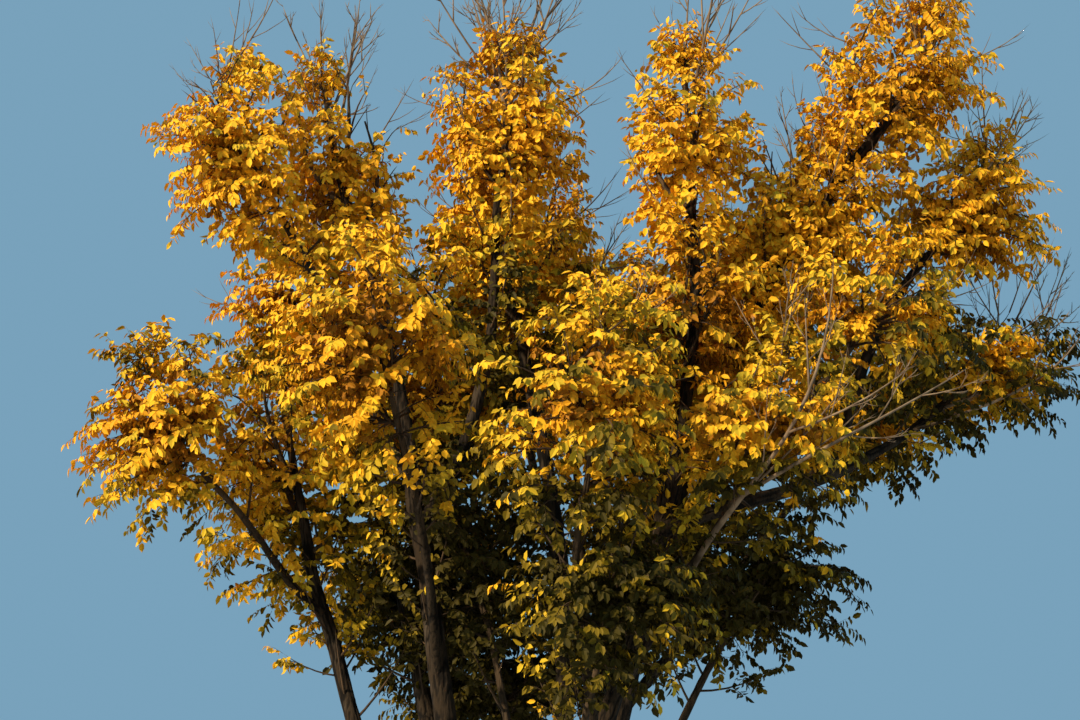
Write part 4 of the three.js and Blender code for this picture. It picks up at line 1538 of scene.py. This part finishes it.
class Paint(Nodes):
    """A material and the nodes in it."""

    def __init__(self, name):
        self.material = bpy.data.materials.new(name)
        self.material.use_nodes = True
        self.tree = self.material.node_tree
        self.tree.nodes.clear()

    def attribute(self, name):
        node = self.add("ShaderNodeAttribute", {"attribute_name": name})
        return Wire(self, node.outputs["Fac"])

    def noise(self, places, scale, detail):
        node = self.add(
            "ShaderNodeTexNoise", None, {"Vector": places, "Scale": scale, "Detail": detail}
        )
        return Wire(self, node.outputs["Fac"])

    def ramp(self, value, low, high):
        node = self.add(
            "ShaderNodeMapRange", {"interpolation_type": "SMOOTHSTEP"},
            {"Value": value, "From Min": low, "From Max": high},
        )
        return Wire(self, node.outputs["Result"])

    def mix(self, share, first, second):
        node = self.add("ShaderNodeMix", {"data_type": "RGBA"}, {0: share, 6: first, 7: second})
        return node.outputs[2]

    def finish(self, sockets):
        shader = self.add("ShaderNodeBsdfPrincipled", None, sockets)
        self.add("ShaderNodeOutputMaterial", None, {"Surface": shader.outputs["BSDF"]})
        return self.material


def full(colour, by=1.0):
    return (colour[0] * by, colour[1] * by, colour[2] * by, 1.0)


def bark_paint(wood):
    """Grey-brown ridges over dark furrows, with paler weathered plates and a fine grain."""
    paint = Paint("elm_bark")
    places = paint.add("ShaderNodeTexCoord").outputs["Object"]
    drawn = paint.add("ShaderNodeMapping", None, {"Vector": places, "Scale": (1, 1, 0.17)})
    drawn = drawn.outputs["Vector"]
    relief = paint.attribute("relief")
    grain = paint.noise(drawn, 38.0, 4.0)
    patches = paint.noise(places, 2.4, 3.0)
    ridge = paint.ramp(relief + 1.3 * (grain - 0.5), 0.12, 0.85)
    weather = paint.ramp(patches, 0.48, 0.7) * ridge
    # Dark furrows that follow the relief: partly the bark's own colour, partly painted shade in
    # them.
    colour = paint.mix(ridge, full(wood.furrow_colour), full(wood.ridge_colour))
    colour = paint.mix(weather * 0.7, colour, full(wood.weathered_colour))
    cracks = paint.ramp(grain, 0.5, 0.36)
    colour = paint.mix(cracks * 0.7, colour, full(wood.furrow_colour))
    young = paint.attribute("young") * (1 - cracks * 0.6)
    colour = paint.mix(young * 0.8, colour, full(wood.young_colour))
    bump = paint.add("ShaderNodeBump", None, {
        "Strength": 1.0, "Distance": 0.018, "Height": grain + 0.6 * relief,
    })
    return paint.finish({
        "Base Color": colour, "Roughness": 0.93, "Specular IOR Level": 0.15,
        "Normal": bump.outputs["Normal"],
    })


def twig_paint(name, dark, pale):
    """Thin bark in patches of two tones."""
    paint = Paint(name)
    places = paint.add("ShaderNodeTexCoord").outputs["Object"]
    patches = paint.ramp(paint.noise(places, 6.0, 3.0), 0.3, 0.7)
    colour = paint.mix(patches, full(dark), full(pale))
    return paint.finish({"Base Color": colour, "Roughness": 0.85, "Specular IOR Level": 0.25})


def leaf_paint(name, colour, foliage):
    """A waxy leaf of one plain colour. Its tint is dealt out by spray."""
    paint = Paint(name)
    return paint.finish({
        "Base Color": full(colour),
        "Roughness": foliage.leaf_roughness,
        "Specular IOR Level": foliage.leaf_gloss,
    })


def stage_paint(name, colour, roughness):
    paint = Paint(name)
    places = paint.add("ShaderNodeTexCoord").outputs["Object"]
    mottle = paint.ramp(paint.noise(places, 0.6, 2.0), 0.2, 0.8)
    tone = paint.mix(mottle, full(colour, 0.97), full(colour, 1.03))
    return paint.finish({"Base Color": tone, "Roughness": roughness})


# What a user would change


def colour_of(name, default, description):
    return FloatVectorProperty(
        name=name, description=description, default=default, subtype="COLOR", size=3, min=0, max=1
    )


def number_of(name, default, description, **limits):
    return FloatProperty(name=name, description=description, default=default, **limits)


def length_of(name, default, description):
    return number_of(name, default, description, unit="LENGTH", min=0)


def share_of(name, default, description):
    return number_of(name, default, description, min=0, max=2)


class ElmWood(bpy.types.PropertyGroup):
    """Bark of the trunk, the limbs and the shoots."""

    relief: length_of("Bark relief", 0.021, "How deep the furrows in the trunk's bark are")
    grain: length_of("Ridge width", 0.058, "How wide the ridges in the trunk's bark are")
    # The ridges and weathered plates are darker than the bark's own colour, which partly paints the
    # shade that the boughs stand in.
    ridge_colour: colour_of("Ridges", (0.032, 0.0215, 0.0125), "Colour of the bark's ridges")
    furrow_colour: colour_of("Furrows", (0.0065, 0.0048, 0.0034), "Colour of the bark's furrows")
    weathered_colour: colour_of("Weathered", (0.072, 0.054, 0.037), "Colour of weathered bark")
    young_colour: colour_of("Young bark", (0.11, 0.074, 0.042), "Colour of the bark of thin limbs")
    twig_colour: colour_of("Twigs", (0.035, 0.022, 0.013), "Darker colour of living twigs")
    twig_tip_colour: colour_of("Twig tips", (0.10, 0.06, 0.03), "Paler colour of living twigs")
    dead_colour: colour_of("Dead wood", (0.12, 0.08, 0.05), "Darker colour of dead shoots")
    bleached_colour: colour_of("Bleached wood", (0.30, 0.21, 0.13), "Paler colour of dead shoots")


class ElmFoliage(bpy.types.PropertyGroup):
    """Twigs and leaves, and the tints of the leaves."""

    seed: IntProperty(name="Seed", description="Which crown grows from the rule", default=5)
    twigs_per_metre: number_of(
        "Twigs per metre", 62.0, "Twigs of a mass for each metre of its middling half size", min=1
    )
    limb_twigs_per_metre: number_of(
        "Twigs per metre of limb", 7.0, "Twigs on each metre of the outer part of a limb", min=0
    )
    twig_rise: share_of("Twig rise", 0.07, "How far twig ends are raised, as a share of the mass")
    lumpiness: share_of("Lumpiness", 0.2, "How much a mass's outside differs from an even shape")
    shoulders: share_of("Shoulders", 0.2, "How far a mass's shoulders stand out")
    dead_tips: IntProperty(name="Dead tips", description="How many twigs end bare", default=240)
    twiglet_spacing: length_of("Twiglet spacing", 0.061, "From one twiglet to the next")
    twiglet_sag: share_of("Twiglet sag", 0.2, "How far a twiglet's end sags, for its length")
    leaf_spacing: length_of("Leaf spacing", 0.0264, "From one leaf to the next on a twiglet")
    leaf_length: length_of("Leaf length", 0.100, "Length of a middling leaf")
    leaf_width: share_of("Leaf width", 0.56, "Width of a leaf, for its length")
    leaf_fold: share_of("Leaf fold", 0.08, "How deep a leaf is folded, for its length")
    leaf_droop: share_of("Leaf droop", 0.14, "How far a leaf's tip bends down, for its length")
    least_hang: share_of("Least hang", 0.3, "How strongly the stiffest leaves hang")
    most_hang: share_of("Most hang", 1.35, "How strongly the limpest leaves hang")
    unevenness: share_of("Unevenness", 0.14, "How much the leaves' widths differ")
    leaf_roughness: share_of("Leaf roughness", 0.58, "How dull the leaves are")
    leaf_gloss: share_of("Leaf gloss", 0.12, "How strongly the leaves shine")
    # Deep olive is darker than such leaves are, which paints the shade low in the crown and deep in
    # its masses, where it is dealt.
    deep_olive: colour_of("Deep olive", (0.046, 0.036, 0.004), "Leaves that have turned least")
    olive: colour_of("Olive", (0.165, 0.113, 0.007), "Leaves that have begun to turn")
    lemon: colour_of("Lemon", (0.58, 0.385, 0.020), "Yellow leaves with some green")
    gold: colour_of("Gold", (0.87, 0.475, 0.020), "Leaves in full colour")
    amber: colour_of("Amber", (0.72, 0.345, 0.013), "Leaves past full colour")
    russet: colour_of("Russet", (0.37, 0.155, 0.009), "Leaves that turn brown")


class ElmStage(bpy.types.PropertyGroup):
    """The floor, the light and the camera."""

    floor_colour: colour_of("Floor", (0.50, 0.49, 0.47), "Colour of the plain floor")
    floor_size: length_of("Floor size", 500.0, "Length of the floor's side")
    sky_colour: colour_of("Surroundings", (0.19, 0.36, 0.50), "Colour of the soft light around")
    sky_strength: share_of("Soft light", 1.0, "Strength of the soft light around")
    key_colour: colour_of("Key colour", (1.0, 0.82, 0.57), "Colour of the key light")
    key_strength: number_of("Key strength", 5.4, "Strength of the key light", min=0)
    key_bearing: number_of("Key bearing", 218.0, "Where the key light comes from, in degrees")
    key_height: number_of("Key height", 24.0, "How high the key light stands, in degrees")
    camera_place: FloatVectorProperty(
        name="Camera", description="Where the camera stands", default=tuple(FRONT), unit="LENGTH"
    )
    camera_pitch: number_of("Camera pitch", 19.06, "How far the camera looks up, in degrees")
    lens: number_of("Lens", 71.93, "Focal length in millimetres")


# One operator for each piece or group of like pieces

# radius: at the start and the tip. rings and sides: of the tubes.
TWIG_SHAPES = {
    "twigs": dict(radius=(0.0115, 0.0035), rings=6, sides=4),
    "twiglets": dict(radius=(0.0034, 0.0014), rings=3, sides=3),
}
# The tints, from how far turned to how far turned leaves have them. How far turned also holds
# the painted shade and sunlight of place.
TINTS = {
    "deep_olive": (-9.0, 0.14),
    "olive": (0.14, 0.28),
    "lemon": (0.28, 0.42),
    "gold": (0.42, 0.66),
    "amber": (0.66, 0.84),
    "russet": (0.84, 9.0),
}
LEAVES_PER_PIECE = 47000  # at the most, so that no piece has more than 200,000 triangles


def dress(piece, material):
    piece.data.materials.clear()
    piece.data.materials.append(material)


class ELM_OT_trunk(bpy.types.Operator):
    """Makes the furrowed trunk with the feet of its boughs grown into it"""

    bl_idname = "elm.trunk"
    bl_label = "Trunk and fork"

    def execute(self, context):
        scene = context.scene
        piece = trunk_piece(scene.elm_wood)
        dress(piece, bark_paint(scene.elm_wood))
        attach(piece, "root")
        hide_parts("trunk")
        return {"FINISHED"}


class ELM_OT_limbs(bpy.types.Operator):
    """Makes the furrowed boughs and branches with their stems"""

    bl_idname = "elm.limbs"
    bl_label = "Boughs and branches"

    def execute(self, context):
        scene = context.scene
        piece = limbs_piece(scene.elm_wood)
        dress(piece, bpy.data.materials["elm_bark"])
        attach(piece, "root")
        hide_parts(*[name for name in WOOD_NODES if name != "trunk"])
        return {"FINISHED"}


class ELM_OT_twigs(bpy.types.Operator):
    """Makes the living twigs and the twiglets that carry the leaves"""

    bl_idname = "elm.twigs"
    bl_label = "Living twigs"

    def execute(self, context):
        scene = context.scene
        wood, grown = scene.elm_wood, crown(scene.elm_foliage)
        material = twig_paint("twig_bark", wood.twig_colour, wood.twig_tip_colour)
        for name, shape in TWIG_SHAPES.items():
            piece = mesh_piece(name, *twig_tubes(grown[name], **shape))
            dress(piece, material)
            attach(piece, "root")
        return {"FINISHED"}


class ELM_OT_shoots(bpy.types.Operator):
    """Makes the dead shoots that stand bare above the leaves"""

    bl_idname = "elm.shoots"
    bl_label = "Bare shoots"

    def execute(self, context):
        scene = context.scene
        wood, foliage = scene.elm_wood, scene.elm_foliage
        piece = shoots_piece(crown(foliage)["twigs"], foliage)
        dress(piece, twig_paint("dead_wood", wood.dead_colour, wood.bleached_colour))
        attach(piece, "root")
        return {"FINISHED"}


class ELM_OT_leaves(bpy.types.Operator):
    """Makes the leaves, one piece for each tint"""

    bl_idname = "elm.leaves"
    bl_label = "Leaves"

    def execute(self, context):
        scene = context.scene
        foliage = scene.elm_foliage
        leaves = crown(foliage)["leaves"]
        grow, pattern = leaf_tree(), leaf_pattern(foliage)
        for tint, (low, high) in TINTS.items():
            rows = np.flatnonzero((leaves["turned"] >= low) & (leaves["turned"] < high))
            material = leaf_paint(f"{tint}_leaf", getattr(foliage, tint), foliage)
            lots = max(math.ceil(len(rows) / LEAVES_PER_PIECE), 1)
            for number, lot in enumerate(np.array_split(rows, lots)):
                name = f"{tint}_leaves_{number + 1}"
                piece = leaf_piece(name, leaves, lot, grow, pattern, foliage, material)
                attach(piece, "root")
                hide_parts(*FOLIAGE_NODES)
        bpy.data.objects.remove(pattern)
        return {"FINISHED"}


KEY_WIDTH = 4  # how wide the sun seems, in degrees
KEY_DISTANCE = 40  # only where its symbol stands
SENSOR_WIDTH = 36  # in millimetres
FURTHEST_VIEW = 1000


def add_surroundings(scene, stage):
    world = bpy.data.worlds.new("surroundings")
    world.use_nodes = True
    background = world.node_tree.nodes["Background"]
    background.inputs["Color"].default_value = full(stage.sky_colour)
    background.inputs["Strength"].default_value = stage.sky_strength
    scene.world = world


def add_light(scene, stage):
    lamp = bpy.data.lights.new("key", "SUN")
    lamp.energy = stage.key_strength
    lamp.color = stage.key_colour
    lamp.angle = math.radians(KEY_WIDTH)
    key = bpy.data.objects.new("key", lamp)
    source = Vector(heading(stage.key_bearing, 90 - stage.key_height))
    key.rotation_euler = source.to_track_quat("Z", "Y").to_euler()
    key.location = source * KEY_DISTANCE
    scene.collection.objects.link(key)


def add_camera(scene, stage):
    view = bpy.data.cameras.new("camera")
    view.lens = stage.lens
    view.sensor_width = SENSOR_WIDTH
    view.clip_end = FURTHEST_VIEW
    camera = bpy.data.objects.new("camera", view)
    camera.location = stage.camera_place
    camera.rotation_euler = (math.radians(90 + stage.camera_pitch), 0, 0)
    scene.collection.objects.link(camera)
    scene.camera = camera


class ELM_OT_stage(bpy.types.Operator):
    """Makes the plain floor, the light and the camera"""

    bl_idname = "elm.stage"
    bl_label = "Stage"

    def execute(self, context):
        scene = context.scene
        stage = scene.elm_stage
        half = stage.floor_size / 2
        corners = np.array([(-half, -half, 0), (half, -half, 0), (half, half, 0), (-half, half, 0)])
        floor = mesh_piece("floor", corners, [np.array([(0, 1, 2, 3)])], smooth=False)
        dress(floor, stage_paint("floor_paint", stage.floor_colour, roughness=0.8))
        add_surroundings(scene, stage)
        add_light(scene, stage)
        add_camera(scene, stage)
        scene.view_settings.view_transform = "Standard"
        return {"FINISHED"}


STEPS = (ELM_OT_trunk, ELM_OT_limbs, ELM_OT_twigs, ELM_OT_shoots, ELM_OT_leaves, ELM_OT_stage)


class ELM_PT_tree(bpy.types.Panel):
    """The elm's pieces and their sizes"""

    bl_label = "Autumn elm"
    bl_idname = "ELM_PT_tree"
    bl_space_type = "VIEW_3D"
    bl_region_type = "UI"
    bl_category = "Elm"

    def draw(self, context):
        for step in STEPS:
            self.layout.operator(step.bl_idname)
        for group in (context.scene.elm_wood, context.scene.elm_foliage, context.scene.elm_stage):
            box = self.layout.box()
            for key in group.bl_rna.properties.keys():
                if key not in ("rna_type", "name"):
                    box.prop(group, key)


GROUPS = {"elm_wood": ElmWood, "elm_foliage": ElmFoliage, "elm_stage": ElmStage}


def register():
    for kind in (*GROUPS.values(), *STEPS, ELM_PT_tree):
        bpy.utils.register_class(kind)
    for key, kind in GROUPS.items():
        setattr(bpy.types.Scene, key, PointerProperty(type=kind))


def unregister():
    for key in GROUPS:
        delattr(bpy.types.Scene, key)
    for kind in reversed((*GROUPS.values(), *STEPS, ELM_PT_tree)):
        bpy.utils.unregister_class(kind)


def main():
    register()
    bpy.ops.elm.trunk()
    bpy.ops.elm.limbs()
    bpy.ops.elm.twigs()
    bpy.ops.elm.shoots()
    bpy.ops.elm.leaves()
    bpy.ops.elm.stage()


if __name__ == "__main__":
    main()
